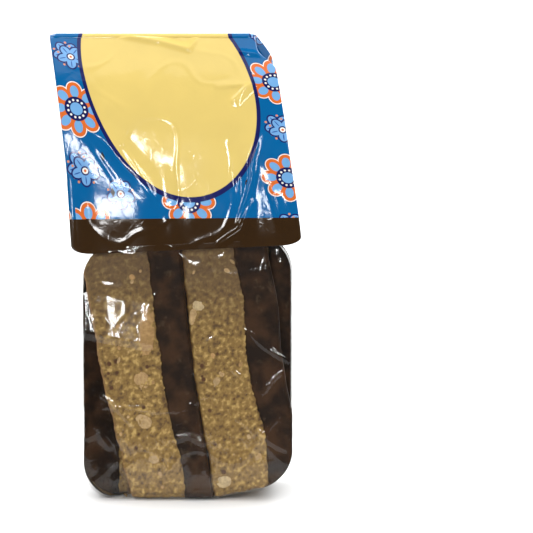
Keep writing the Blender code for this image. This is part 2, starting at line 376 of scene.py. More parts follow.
class SharedEffects:
    """Shader groups that the finishes share, each built once."""

    def __init__(self) -> None:
        """Build every group."""
        self.cell = self.build_cell()
        self.blossom = self.build_blossom()
        self.medallion = self.build_medallion()
        self.crinkle = self.build_crinkle()
        self.speckle = self.build_speckle()

    def build_cell(self) -> bpy.types.NodeTree:
        """Repeat a motif on a drop lattice: place on the film in, place round the motif out.

        Returns:
            The group.
        """
        sizes = {"U": 0.0, "V": 0.0, "Pitch U": 40.0, "Pitch V": 44.0, "Drop": 11.0}
        sizes |= {"Start U": 0.0, "Start V": 0.0}
        inputs = {label: (Sort.VALUE, size) for label, size in sizes.items()}
        outputs = {"X": Sort.VALUE, "Y": Sort.VALUE}
        graph = Graph.group("print_cell", "ShaderNodeTree", inputs, outputs)
        pitch_u = graph.given("Pitch U")
        pitch_v = graph.given("Pitch V")
        across = graph.given("U") - graph.given("Start U")
        column = graph.math("FLOOR", across / pitch_u + 0.5)
        up = graph.given("V") - graph.given("Start V") - column * graph.given("Drop")
        row = graph.math("FLOOR", up / pitch_v + 0.5)
        graph.give("X", across - column * pitch_u)
        graph.give("Y", up - row * pitch_v)
        return graph.tree

    def spoke(self, graph: Graph, x: Term, y: Term, count: int, turn: float) -> tuple[Term, Term, Term]:
        """Fold the plane onto one of several equal wedges.

        Args:
            graph: Graph to write in.
            x: Place across.
            y: Place up.
            count: How many wedges.
            turn: Turn of the first wedge, as a share of one.

        Returns:
            Distance from the middle, and place along and across the wedge's own axis.
        """
        reach = graph.math("SQRT", x * x + y * y)
        angle = graph.math("ARCTAN2", y, x) * (count / math.tau) + turn
        local = (angle - graph.math("FLOOR", angle + 0.5)) * (math.tau / count)
        return reach, reach * graph.math("COSINE", local), reach * graph.math("SINE", local)

    def oval(self, graph: Graph, along: Term, across: Term, middle: float, half: float, width: float) -> Term:
        """Distance measure of an oval on a wedge's axis: 1 on its outline."""
        far, wide = (along - middle) / half, across / width
        return graph.math("SQRT", far * far + wide * wide)

    def open_motif(self, name: str) -> tuple[Graph, Term, Term]:
        """Open the group of a printed motif.

        Args:
            name: Name of the group.

        Returns:
            Graph of the group, and place across and up from the motif's middle.
        """
        inputs = {"X": (Sort.VALUE, 0.0), "Y": (Sort.VALUE, 0.0)}
        outputs = {"Color": Sort.COLOUR, "Mask": Sort.VALUE}
        graph = Graph.group(name, "ShaderNodeTree", inputs, outputs)
        return graph, graph.given("X"), graph.given("Y")

    def build_blossom(self) -> bpy.types.NodeTree:
        """Small blossom of five petals with a pale eye and dots between its petals.

        Returns:
            The group.
        """
        graph, x, y = self.open_motif("print_blossom")
        reach, along, across = self.spoke(graph, x, y, 5, 0.25)
        petal = self.oval(graph, along, across, 2.9, 2.35, 1.75)
        rim = self.oval(graph, along, across, 2.9, 2.95, 2.3)
        vein = self.oval(graph, along, across, 3.4, 1.4, 0.22)
        _, dot_along, dot_across = self.spoke(graph, x, y, 5, 0.75)
        dot = self.oval(graph, dot_along, dot_across, 5.0, 0.5, 0.5)
        graph.give("Color", graph.printed(ink(22, 30, 96), (
            (petal, 1.05, 0.95, ink(112, 164, 216)),
            (vein, 1.2, 0.8, ink(40, 84, 156)),
            (reach, 1.75, 1.6, ink(22, 30, 96)),
            (reach, 1.2, 1.05, ink(240, 238, 230)),
            (reach, 0.6, 0.45, ink(214, 112, 56)),
            (dot, 1.1, 0.9, ink(216, 142, 108)),
        )))
        graph.give("Mask", graph.math("MAXIMUM", graph.rise(rim, 1.04, 0.98), graph.rise(dot, 1.1, 0.9)))
        return graph.tree

    def build_medallion(self) -> bpy.types.NodeTree:
        """Large sunburst of eight scallops round a beaded eye.

        Returns:
            The group.
        """
        graph, x, y = self.open_motif("print_medallion")
        reach, along, across = self.spoke(graph, x, y, 8, 0.0)
        scallop = self.oval(graph, along, across, 7.2, 3.6, 3.35)
        edge = graph.math("MINIMUM", scallop, reach / 8.2)
        drop = self.oval(graph, along, across, 6.6, 2.3, 1.65)
        _, bead_along, bead_across = self.spoke(graph, x, y, 12, 0.5)
        bead = self.oval(graph, bead_along, bead_across, 3.35, 0.45, 0.45)
        graph.give("Color", graph.printed(ink(22, 30, 96), (
            (edge, 0.98, 0.95, ink(240, 236, 232)),
            (edge, 0.87, 0.84, ink(214, 106, 44)),
            (drop, 1.05, 0.95, ink(112, 166, 216)),
            (reach, 4.7, 4.55, ink(24, 28, 84)),
            (bead, 1.12, 0.88, ink(236, 234, 226)),
            (reach, 2.5, 2.35, ink(112, 166, 216)),
        )))
        graph.give("Mask", graph.rise(edge, 1.03, 1.0))
        return graph.tree

    def build_crinkle(self) -> bpy.types.NodeTree:
        """Fine crinkling of thin film: soft dents and a net of sharp creases, 0 to 1.

        Returns:
            The group.
        """
        inputs = {"Vector": (Sort.VECTOR, None), "Size": (Sort.VALUE, 0.01), "Sharpness": (Sort.VALUE, 0.5)}
        graph = Graph.group("film_crinkle_look", "ShaderNodeTree", inputs, {"Height": Sort.VALUE})
        place = graph.given("Vector")
        size = graph.given("Size")
        dents = graph.noise(place, size, 2.0, 0.55)
        ridge = graph.math("ABSOLUTE", graph.noise(place, size * 0.8, 1.0, 0.4) - 0.5)
        net = graph.rise(ridge, 0.05, 0.0) * graph.given("Sharpness")
        graph.give("Height", dents + net)
        return graph.tree

    def build_speckle(self) -> bpy.types.NodeTree:
        """Baked grain: coarse and fine mottling, and the share of dark specks.

        Returns:
            The group.
        """
        inputs = {"Vector": (Sort.VECTOR, None), "Size": (Sort.VALUE, 0.001)}
        outputs = {"Grain": Sort.VALUE, "Specks": Sort.VALUE}
        graph = Graph.group("baked_speckle", "ShaderNodeTree", inputs, outputs)
        place = graph.given("Vector")
        size = graph.given("Size")
        broad = graph.noise(place, size * 6.0, 2.0, 0.5)
        grain = graph.noise(place, size, 4.0, 0.7)
        graph.give("Grain", grain * 0.7 + broad * 0.3)
        graph.give("Specks", graph.rise(graph.noise(place, size * 1.7, 2.0, 0.6), 0.60, 0.70))
        return graph.tree


# --- finishes


def new_finish(name: str) -> tuple[bpy.types.Material, Graph, bpy.types.Node]:
    """Make an empty material.

    Args:
        name: Name of the material.

    Returns:
        The material, its graph and its Principled shader.
    """
    material = bpy.data.materials.new(name)
    material.use_nodes = True
    shader = material.node_tree.nodes["Principled BSDF"]
    return material, Graph(material.node_tree), shader


def here(graph: Graph) -> Term:
    """The place on the piece, in metres of the frame."""
    return graph.read("ShaderNodeTexCoord", "Object")


def relief(graph: Graph, height: Term, depth: float) -> Term:
    """Normal of a fine relief, depth metres high."""
    return graph.read("ShaderNodeBump", "Normal", {"Height": height, "Distance": depth, "Strength": 1.0})


@dataclass(frozen=True)
class PrintedFilm:
    """Glossy film, printed with a blue ornament, a plain oval and a plain brown band."""

    blue: Colour = ink(0, 94, 152)
    yellow: Colour = ink(221, 195, 112)
    brown: Colour = ink(50, 32, 12)
    navy: Colour = ink(22, 28, 88)
    dark: Colour = ink(50, 45, 38)
    band_top: float = 12.4
    oval_middle: tuple[float, float] = (0.6, 68.2)
    oval_half: tuple[float, float] = (33.2, 47.5)
    oval_turn: float = 5.8
    outline: float = 1.5
    roughness: float = 0.09

    def motif(self, graph: Graph, shared: SharedEffects, group: bpy.types.NodeTree, u: Term, v: Term,
              start: tuple[float, float], under: Term | Colour) -> Term:
        """Lay one repeated motif over the colours below it.

        Args:
            graph: Graph of the material.
            shared: The shared groups.
            group: Group that draws the motif.
            u: Place across the film.
            v: Place up the film.
            start: Place of one of the motifs.
            under: Colour below the motif.

        Returns:
            Colour with the motif.
        """
        cell = graph.use(shared.cell, {"U": u, "V": v, "Start U": start[0], "Start V": start[1]})
        place = {"X": Term(graph, cell.outputs["X"]), "Y": Term(graph, cell.outputs["Y"])}
        drawn = graph.use(group, place)
        return graph.blend(Term(graph, drawn.outputs["Mask"]), under, Term(graph, drawn.outputs["Color"]))

    def lozenges(self, graph: Graph, shared: SharedEffects, u: Term, v: Term,
                 start: tuple[float, float]) -> Term:
        """Mask of small upright lozenges on the lattice.

        Args:
            graph: Graph of the material.
            shared: The shared groups.
            u: Place across the film.
            v: Place up the film.
            start: Place of one of the lozenges.

        Returns:
            The mask.
        """
        cell = graph.use(shared.cell, {"U": u, "V": v, "Start U": start[0], "Start V": start[1]})
        across = graph.math("ABSOLUTE", Term(graph, cell.outputs["X"])) / 0.85
        up = graph.math("ABSOLUTE", Term(graph, cell.outputs["Y"])) / 1.9
        return graph.rise(across + up, 1.1, 0.9)

    def make(self, shared: SharedEffects) -> bpy.types.Material:
        """Build the material.

        Args:
            shared: The shared groups.

        Returns:
            The material.
        """
        material, graph, shader = new_finish("printed_film")
        chart = graph.read("ShaderNodeUVMap", "UV", uv_map=CHART)
        u, v, _ = graph.parts(chart)
        u, v = u * CHART_UNIT, v * CHART_UNIT
        colour = self.motif(graph, shared, shared.medallion, u, v, (-37.5, 52.0), self.blue)
        for start in ((-38.5, 31.0), (-24.0, 21.5), (-37.0, 73.5)):
            colour = self.motif(graph, shared, shared.blossom, u, v, start, colour)
        for start in ((-29.5, 35.0), (-27.0, 66.0)):
            colour = graph.blend(self.lozenges(graph, shared, u, v, start), colour, self.dark)
        turn = math.radians(self.oval_turn)
        off_u = u - self.oval_middle[0]
        off_v = v - self.oval_middle[1]
        across = (off_u * math.cos(turn) + off_v * math.sin(turn)) / self.oval_half[0]
        up = (off_v * math.cos(turn) - off_u * math.sin(turn)) / self.oval_half[1]
        oval = graph.math("SQRT", across * across + up * up)
        rim = 1.0 + self.outline / self.oval_half[0]
        colour = graph.printed(colour, (
            (oval, rim + 0.003, rim - 0.003, self.navy),
            (oval, 1.003, 0.997, self.yellow),
            (v, self.band_top + 0.1, self.band_top - 0.1, self.brown),
        ))
        place = here(graph)
        shade = graph.rise(graph.noise(place, 0.018, 2.0, 0.5), 0.3, 0.7)
        dimmed = graph.toned(colour, 0.94, 1.0)
        graph.feed(shader.inputs["Base Color"], graph.blend(shade, dimmed, colour))
        crinkle = graph.use(shared.crinkle, {"Vector": place, "Size": 0.006, "Sharpness": 0.12})
        graph.feed(shader.inputs["Normal"], relief(graph, Term(graph, crinkle.outputs["Height"]), 0.00005))
        gloss = graph.noise(place, 0.006, 2.0, 0.6) * 0.10 + (self.roughness - 0.05)
        graph.feed(shader.inputs["Roughness"], gloss)
        shader.inputs["IOR"].default_value = 1.42
        return material


@dataclass(frozen=True)
class ClearFilm:
    """Clear glossy film that shows mostly by what it reflects."""

    tint: Colour = (0.95, 0.95, 0.94, 1.0)
    roughness: float = 0.09
    gloss: float = 0.78

    def make(self, shared: SharedEffects) -> bpy.types.Material:
        """Build the material.

        Args:
            shared: The shared groups.

        Returns:
            The material.
        """
        material, graph, shader = new_finish("clear_film")
        place = here(graph)
        crinkle = graph.use(shared.crinkle, {"Vector": place, "Size": 0.011, "Sharpness": 0.1})
        normal = relief(graph, Term(graph, crinkle.outputs["Height"]), 0.00016)
        sheen = graph.read("ShaderNodeFresnel", "Fac", {"IOR": 1.5, "Normal": normal})
        front = 1.0 - graph.read("ShaderNodeNewGeometry", "Backfacing")
        haze = graph.noise(place, 0.012, 2.0, 0.5) * 0.004
        shown = graph.math("MINIMUM", sheen * self.gloss + haze, 1.0) * front
        tint = graph.blend(graph.noise(place, 0.02, 2.0, 0.5), self.tint, (0.88, 0.89, 0.87, 1.0))
        graph.feed(shader.inputs["Base Color"], tint)
        graph.feed(shader.inputs["Normal"], normal)
        graph.feed(shader.inputs["Alpha"], shown)
        shader.inputs["Roughness"].default_value = self.roughness
        shader.inputs["Metallic"].default_value = 1.0
        return material


@dataclass(frozen=True)
class BakedCrumb:
    """Open crumb of a twice-baked slice, browner at its crust, with painted shade in its pores and hollows
    and painted shadow towards its top.
    """

    pale: Colour = ink(178, 148, 84)
    mid: Colour = ink(124, 96, 46)
    deep: Colour = ink(78, 55, 24)
    # painted shade: dark colour laid in the pores and pits, which are hollows
    pore: Colour = ink(76, 46, 18)
    crust: Colour = ink(128, 90, 46)
    # painted shadow: colour of the shade that the printed film casts over the slices' tops
    shade: Colour = ink(80, 60, 38)

    def make(self, shared: SharedEffects) -> bpy.types.Material:
        """Build the material.

        Args:
            shared: The shared groups.

        Returns:
            The material.
        """
        material, graph, shader = new_finish("baked_crumb")
        place = here(graph)
        speckle = graph.use(shared.speckle, {"Vector": place, "Size": 0.0014})
        grain = Term(graph, speckle.outputs["Grain"])
        # Partly the crumb's random tone and partly painted shade: low grain of the relief is coloured deep
        # and high grain pale.
        grit = graph.read("ShaderNodeAttribute", "Fac", attribute_name="grit")
        tone_and_hollow_shade = grit + (grain - 0.5) * 0.45
        inks = ((tone_and_hollow_shade, -0.20, 0.0, self.mid), (tone_and_hollow_shade, -0.01, 0.21, self.pale))
        colour = graph.printed(self.deep, inks)
        colour = graph.blend(Term(graph, speckle.outputs["Specks"]) * 0.45, colour, self.deep)
        # Painted shadow: the crumb turns darker towards the top of the slices, where the printed film shades
        # them.
        _, _, height = graph.parts(place)
        top_shade_share = graph.rise(height, 60.0 * MM, 95.0 * MM)
        colour = graph.blend(top_shade_share * 0.72, colour, self.shade)
        crusted = graph.read("ShaderNodeAttribute", "Fac", attribute_name="crust")
        colour = graph.blend(crusted * 0.75, colour, self.crust)
        # Painted shade in the pores and pits, which the crumb tree also sinks as hollows.
        pore_shade = graph.read("ShaderNodeAttribute", "Fac", attribute_name="pore")
        colour = graph.blend(graph.rise(pore_shade, 0.15, 0.9), colour, self.pore)
        graph.feed(shader.inputs["Base Color"], colour)
        graph.feed(shader.inputs["Roughness"], grain * 0.2 + 0.72)
        graph.feed(shader.inputs["Normal"], relief(graph, grain, 0.0004))
        return material


@dataclass(frozen=True)
class DippedChocolate:
    """Dark dipping chocolate with a soft gloss and a little bloom."""

    dark: Colour = ink(26, 14, 5)
    warm: Colour = ink(56, 36, 19)
    bloom: Colour = ink(82, 68, 48)

    def make(self, shared: SharedEffects) -> bpy.types.Material:
        """Build the material.

        Args:
            shared: The shared groups; not used.

        Returns:
            The material.
        """
        material, graph, shader = new_finish("dipped_chocolate")
        place = here(graph)
        waves = graph.noise(place, 0.009, 3.0, 0.55)
        colour = graph.blend(graph.rise(waves, 0.35, 0.7), self.dark, self.warm)
        dusty = graph.rise(graph.noise(place, 0.004, 3.0, 0.6), 0.58, 0.78)
        colour = graph.blend(dusty * 0.45, colour, self.bloom)
        graph.feed(shader.inputs["Base Color"], colour)
        graph.feed(shader.inputs["Roughness"], waves * 0.25 + 0.48)
        shader.inputs["Specular IOR Level"].default_value = 0.1
        graph.feed(shader.inputs["Normal"], relief(graph, graph.noise(place, 0.0028, 2.0, 0.5), 0.0003))
        return material


@dataclass(frozen=True)
class AlmondFlesh:
    """Cut almond, from pale flesh to toasted tan."""

    pale: Colour = ink(188, 166, 124)
    toasted: Colour = ink(168, 130, 76)

    def make(self, shared: SharedEffects) -> bpy.types.Material:
        """Build the material.

        Args:
            shared: The shared groups.

        Returns:
            The material.
        """
        material, graph, shader = new_finish("almond_flesh")
        place = here(graph)
        speckle = graph.use(shared.speckle, {"Vector": place, "Size": 0.0016})
        tint = graph.read("ShaderNodeAttribute", "Fac", attribute_name="toast")
        colour = graph.blend(tint, self.pale, self.toasted)
        darker = graph.toned(colour, 0.66, 1.05)
        grain = Term(graph, speckle.outputs["Grain"])
        graph.feed(shader.inputs["Base Color"], graph.blend(graph.rise(grain, 0.6, 0.4), colour, darker))
        graph.feed(shader.inputs["Roughness"], grain * 0.2 + 0.5)
        graph.feed(shader.inputs["Normal"], relief(graph, grain, 0.00025))
        return material


@dataclass(frozen=True)
class StudioPaper:
    """Plain pale paper of the floor and the backdrop."""

    white: Colour = (0.86, 0.86, 0.855, 1.0)

    def make(self, shared: SharedEffects) -> bpy.types.Material:
        """Build the material.

        Args:
            shared: The shared groups; not used.

        Returns:
            The material.
        """
        material, graph, shader = new_finish("studio_paper")
        mottle = graph.noise(here(graph), 0.05, 3.0, 0.5)
        graph.feed(shader.inputs["Base Color"], graph.blend(mottle, self.white, (0.84, 0.84, 0.835, 1.0)))
        shader.inputs["Roughness"].default_value = 0.9
        return material


class Finishes:
    """Every material of the pack."""

    def __init__(self) -> None:
        """Build the shared groups, then the materials."""
        shared = SharedEffects()
        self.printed = PrintedFilm().make(shared)
        self.clear = ClearFilm().make(shared)
        self.crumb = BakedCrumb().make(shared)
        self.chocolate = DippedChocolate().make(shared)
        self.almond = AlmondFlesh().make(shared)
        self.paper = StudioPaper().make(shared)


# --- geometry trees


class Growths:
    """Geometry Nodes trees: relief of films and slices, scattered bits and crumbs."""

    def __init__(self) -> None:
        """Build every tree."""
        self.crinkle = self.build_crinkle()
        self.crumb = self.build_crumb()
        self.coat = self.build_coat()
        self.crimp = self.build_crimp()
        self.bits = self.build_bits()
        self.crumbs = self.build_crumbs()

    def open_tree(self, name: str, sizes: dict[str, float]) -> Graph:
        """Open a geometry tree with a mesh, some sizes and a material as its inputs.

        Args:
            name: Name of the tree.
            sizes: Defaults of the sizes, of which a whole number is a count.

        Returns:
            Graph of the tree.
        """
        sorted_sizes = {
            label: (Sort.COUNT if isinstance(size, int) else Sort.VALUE, size)
            for label, size in sizes.items()
        }
        inputs = {"Geometry": (Sort.GEOMETRY, None), **sorted_sizes, "Finish": (Sort.MATERIAL, None)}
        return Graph.group(name, "GeometryNodeTree", inputs, {"Geometry": Sort.GEOMETRY})

    def close_tree(self, graph: Graph, shape: Term) -> bpy.types.NodeTree:
        """Realize the shape, give it its finish and end the tree.

        Args:
            graph: Graph of the tree.
            shape: Finished shape.

        Returns:
            The tree.
        """
        real = graph.read("GeometryNodeRealizeInstances", 0, {0: shape})
        inputs = {"Geometry": real, "Material": graph.given("Finish")}
        graph.give("Geometry", graph.read("GeometryNodeSetMaterial", 0, inputs))
        return graph.tree

    def seeded_place(self, graph: Graph) -> Term:
        """Position, moved by the seed so that no two pieces share their noise."""
        step = graph.given("Seed") * 0.37
        return graph.bend("ADD", graph.read("GeometryNodeInputPosition", 0), graph.vector(step, step, step))

    def named(self, graph: Graph, name: str) -> Term:
        """Value of a named attribute."""
        return graph.read("GeometryNodeInputNamedAttribute", 0, {"Name": name}, data_type="FLOAT")

    def pushed(self, graph: Graph, shape: Term, height: Term) -> Term:
        """Move a shape's points along their normals."""
        offset = graph.scaled(graph.read("GeometryNodeInputNormal", 0), height)
        return graph.read("GeometryNodeSetPosition", 0, {"Geometry": shape, "Offset": offset})

    def build_crinkle(self) -> bpy.types.NodeTree:
        """Soft dents and thin creases over a film, where its slack lets them.

        Returns:
            The tree.
        """
        graph = self.open_tree("film_crinkle", {
            "Dent Height": 0.0003, "Dent Size": 0.02, "Crease Height": 0.0001, "Crease Size": 0.02,
            "Seed": 1.0,
        })
        place = self.seeded_place(graph)
        dents = graph.noise(place, graph.given("Dent Size"), 1.5, 0.45) - 0.5
        ridge = graph.math("ABSOLUTE", graph.noise(place, graph.given("Crease Size"), 0.5, 0.3) - 0.5)
        net = graph.rise(ridge, 0.035, 0.0)
        height = dents * graph.given("Dent Height") + net * graph.given("Crease Height")
        shape = self.pushed(graph, graph.given("Geometry"), height * self.named(graph, "slack"))
        return self.close_tree(graph, shape)

    def build_crumb(self) -> bpy.types.NodeTree:
        """Open crumb: grain and random pores, with the pores kept as an attribute.

        Returns:
            The tree.
        """
        graph = self.open_tree("open_crumb", {
            "Grain Height": 0.0004, "Grain Size": 0.0022, "Pore Depth": 0.0009, "Pore Size": 0.0042,
            "Seed": 1.0,
        })
        place = self.seeded_place(graph)
        grain = graph.noise(place, graph.given("Grain Size"), 3.0, 0.6) - 0.5
        broad = graph.noise(place, graph.given("Grain Size") * 5.0, 1.0, 0.5) - 0.5
        size = graph.given("Pore Size")
        warped = graph.bend("ADD", place, graph.scaled(graph.vector(grain, broad, 0.0 - grain), 0.007))
        hollow = graph.rise(graph.cells(warped, size), 0.36, 0.10)
        lottery, _, _ = graph.parts(graph.cells(warped, size, "Color"))
        drawn = graph.rise(lottery + broad * 0.9, 0.76, 0.90)
        pore = graph.math("MAXIMUM", hollow * drawn * 0.6, self.named(graph, "pit"))
        bare = self.named(graph, "bare")
        height = (grain + broad * 0.4) * graph.given("Grain Height") - pore * graph.given("Pore Depth")
        kept = graph.given("Geometry")
        for name, value in (("pore", pore), ("grit", grain)):
            inputs = {"Geometry": kept, "Name": name, "Value": value}
            kept = graph.read("GeometryNodeStoreNamedAttribute", 0, inputs, data_type="FLOAT")
        return self.close_tree(graph, self.pushed(graph, kept, height * bare))

    def build_coat(self) -> bpy.types.NodeTree:
        """Slow waves of a poured coat.

        Returns:
            The tree.
        """
        graph = self.open_tree("poured_coat", {"Wave Height": 0.0005, "Wave Size": 0.011, "Seed": 1.0})
        place = self.seeded_place(graph)
        waves = (graph.noise(place, graph.given("Wave Size"), 2.0, 0.5) - 0.5) * graph.given("Wave Height")
        return self.close_tree(graph, self.pushed(graph, graph.given("Geometry"), waves))

    def build_crimp(self) -> bpy.types.NodeTree:
        """Ribs of a crimped seal, across the film up to a length from its end.

        Returns:
            The tree.
        """
        graph = self.open_tree("crimped_seal", {
            "Rib Height": 0.0003, "Rib Pitch": 0.002, "Seal Length": 0.012,
            "Dent Height": 0.0006, "Dent Size": 0.02, "Seed": 1.0,
        })
        to_end = self.named(graph, "to_end")
        length = graph.given("Seal Length")
        wave = graph.math("SINE", to_end / graph.given("Rib Pitch") * math.tau)
        sealed = graph.math("LESS_THAN", to_end, length)
        dents = graph.noise(self.seeded_place(graph), graph.given("Dent Size"), 1.5, 0.5) - 0.5
        loose = (1.0 - sealed) * dents * graph.given("Dent Height")
        height = wave * sealed * graph.given("Rib Height") + loose
        shape = self.pushed(graph, graph.given("Geometry"), height * self.named(graph, "slack"))
        return self.close_tree(graph, shape)

    def build_bits(self) -> bpy.types.NodeTree:
        """Almond bits: a pebble on every point, with the point's own size and turn.

        Returns:
            The tree.
        """
        graph = self.open_tree("almond_bits", {"Roughness": 0.0005, "Seed": 1.0})
        half = graph.read("GeometryNodeInputNamedAttribute", 0, {"Name": "half"}, data_type="FLOAT_VECTOR")
        turn = graph.vector(0.0, self.named(graph, "turn"), 0.0)
        inputs = {"Points": graph.given("Geometry"), "Rotation": turn, "Scale": half}
        real = self.pebbles(graph, 3, inputs)
        place = self.seeded_place(graph)
        lumps = graph.noise(place, 0.006, 1.0, 0.4) - 0.5
        return self.close_tree(graph, self.pushed(graph, real, lumps * graph.given("Roughness") * 2.0))

    def build_crumbs(self) -> bpy.types.NodeTree:
        """Loose crumbs, scattered over a surface.

        Returns:
            The tree.
        """
        graph = self.open_tree("loose_crumbs", {
            "Spread": 30000.0, "Least Radius": 0.0003, "Most Radius": 0.001, "Seed": 3,
        })
        seed = graph.given("Seed")
        inputs = {"Mesh": graph.given("Geometry"), "Density": graph.given("Spread"), "Seed": seed}
        points = graph.read("GeometryNodeDistributePointsOnFaces", 0, inputs)
        limits = {2: graph.given("Least Radius"), 3: graph.given("Most Radius"), "Seed": seed}
        radius = graph.read("FunctionNodeRandomValue", 1, limits, data_type="FLOAT")
        real = self.pebbles(graph, 1, {"Points": points, "Scale": graph.vector(radius, radius, radius)})
        place = graph.read("GeometryNodeInputPosition", 0)
        lumps = graph.noise(place, 0.0008, 1.0, 0.5) - 0.5
        return self.close_tree(graph, self.pushed(graph, real, lumps * 0.0006))

    def pebbles(self, graph: Graph, rounds: int, inputs: dict[str, Term]) -> Term:
        """Real pebbles on points.

        Args:
            graph: Graph of the tree.
            rounds: Subdivisions of a pebble.
            inputs: Points, and the turn and size of each pebble.

        Returns:
            The pebbles.
        """
        pebble = graph.read("GeometryNodeMeshIcoSphere", 0, {"Radius": 1.0, "Subdivisions": rounds})
        placed = graph.read("GeometryNodeInstanceOnPoints", 0, {**inputs, "Instance": pebble})
        return graph.read("GeometryNodeRealizeInstances", 0, {0: placed})


# --- meshes


@dataclass
class GridShape:
    """A mesh laid out as rings of points, in millimetres."""

    points: np.ndarray
    closed: bool = True
    cap_start: bool = False
    cap_end: bool = False
    chart: np.ndarray | None = None
    marks: dict[str, np.ndarray] = field(default_factory=dict)

    def faces(self) -> list[tuple[int, ...]]:
        """Quads between rings, and fans to the poles.

        Returns:
            Corner numbers of each face.
        """
        rows, columns = self.points.shape[:2]
        reach = columns if self.closed else columns - 1
        index = np.arange(rows * columns).reshape(rows, columns)
        after = np.roll(index, -1, axis=1)
        quads = np.stack([index[:-1], after[:-1], after[1:], index[1:]], axis=-1)[:, :reach]
        made = [tuple(quad) for quad in quads.reshape(-1, 4).tolist()]
        pole = rows * columns
        if self.cap_start:
            made += [(pole, b, a) for a, b in zip(index[0].tolist(), after[0].tolist())]
            pole += 1
        if self.cap_end:
            made += [(pole, a, b) for a, b in zip(index[-1].tolist(), after[-1].tolist())]
        return made

    def mesh(self, name: str) -> bpy.types.Mesh:
        """Make the mesh, with its marks and its map of the film.

        Args:
            name: Name of the mesh.

        Returns:
            The mesh, in metres.
        """
        flat = self.points.reshape(-1, 3)
        poles = [self.points[row].mean(axis=0) for row, on in ((0, self.cap_start), (-1, self.cap_end)) if on]
        places = np.vstack([flat, *[pole[None] for pole in poles]]) * MM
        made = bpy.data.meshes.new(name)
        made.from_pydata(places.tolist(), [], self.faces())
        for label, values in self.marks.items():
            filled = np.concatenate([values.reshape(-1), np.zeros(len(poles))])
            mark = made.attributes.new(label, "FLOAT", "POINT")
            mark.data.foreach_set("value", filled.astype(np.float32))
        if self.chart is not None:
            self.lay_chart(made)
        made.shade_smooth()
        made.update()
        return made

    def lay_chart(self, made: bpy.types.Mesh) -> None:
        """Write the film's map on the mesh; its chart has one more column than the points.

        Args:
            made: Mesh of the shape.
        """
        rows, columns = self.points.shape[:2]
        reach = columns if self.closed else columns - 1
        chart = self.chart / CHART_UNIT
        right = chart[:, 1 : reach + 1]
        left = chart[:, :reach]
        quads = np.stack([left[:-1], right[:-1], right[1:], left[1:]], axis=2).reshape(-1, 2)
        corners = np.zeros((len(made.loops), 2))
        corners[: len(quads)] = quads
        caps = []
        if self.cap_start:
            middle = chart[0].mean(axis=0)
            caps += [value for j in range(reach) for value in (middle, chart[0, j + 1], chart[0, j])]
        if self.cap_end:
            middle = chart[-1].mean(axis=0)
            caps += [value for j in range(reach) for value in (middle, chart[-1, j], chart[-1, j + 1])]
        if caps:
            corners[len(quads) :] = np.array(caps)
        layer = made.uv_layers.new(name=CHART)
        layer.data.foreach_set("uv", corners.astype(np.float32).ravel())


def grown(
    name: str,
    mesh: bpy.types.Mesh,
    tree: bpy.types.NodeTree,
    sizes: dict[str, object],
    wall: float = 0.0,
) -> bpy.types.Object:
    """Run a mesh through a geometry tree and keep the result as a plain piece.

    Args:
        name: Name of the piece.
        mesh: Mesh that the tree starts from.
        tree: Geometry Nodes tree.
        sizes: Values of the tree's named inputs.
        wall: Thickness that the shell gets inwards, in metres, or 0.

    Returns:
        The finished piece, at the origin and without modifiers.
    """
    rough = bpy.data.objects.new(name + "_rough", mesh)
    bpy.context.scene.collection.objects.link(rough)
    growth = rough.modifiers.new("growth", "NODES")
    growth.node_group = tree
    for item in tree.interface.items_tree:
        if item.in_out == "INPUT" and item.name in sizes:
            growth[item.identifier] = sizes[item.name]
    if wall:
        shell = rough.modifiers.new("wall", "SOLIDIFY")
        shell.thickness = wall
        shell.offset = -1.0
    depsgraph = bpy.context.evaluated_depsgraph_get()
    source = rough.evaluated_get(depsgraph)
    finished = bpy.data.meshes.new_from_object(source, preserve_all_data_layers=True, depsgraph=depsgraph)
    finished.name = name
    bpy.data.objects.remove(rough)
    bpy.data.meshes.remove(mesh)
    piece = bpy.data.objects.new(name, finished)
    bpy.context.scene.collection.objects.link(piece)
    return piece


def settle(piece: bpy.types.Object) -> bpy.types.Object:
    """Tie a finished piece to the frame and report it.

    Args:
        piece: The piece.

    Returns:
        The same piece.
    """
    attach(piece, "root")
    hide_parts("bag")
    triangles = sum(len(face.vertices) - 2 for face in piece.data.polygons)
    LOG.info("%s: %d triangles", piece.name, triangles)
    return piece


# --- pack's form


@dataclass(frozen=True)
class Crease:
    """A line raised in the front film, with a flank on either side of its run."""

    path: Knots
    height: float
    left: float
    right: float
    power: float = 2.0
    fade: float = 0.35

    def rise(self, x: np.ndarray, z: np.ndarray) -> np.ndarray:
        """Height of the crease at points of the front.

        Args:
            x: Places across.
            z: Places up.

        Returns:
            Height out of the film at each point.
        """
        best = np.full(x.shape, 1e9)
        shape = np.zeros(x.shape)
        lengths = [math.dist(a, b) for a, b in zip(self.path, self.path[1:])]
        total = sum(lengths)
        run = 0.0
        for (ax, az), (bx, bz), length in zip(self.path, self.path[1:], lengths):
            ux, uz = (bx - ax) / length, (bz - az) / length
            along = (x - ax) * ux + (z - az) * uz
            across = (z - az) * ux - (x - ax) * uz
            held = np.clip(along, 0.0, length)
            distance = np.hypot(x - ax - held * ux, z - az - held * uz)
            width = np.where(across > 0.0, self.left, self.right)
            share = np.clip(1.0 - distance / width, 0.0, 1.0) ** self.power
            at = (run + held) / total
            ends = np.clip(np.minimum(at, 1.0 - at) / self.fade, 0.0, 1.0)
            closer = distance < best
            best = np.where(closer, distance, best)
            shape = np.where(closer, share * np.sqrt(ends), shape)
            run += length
        return self.height * shape


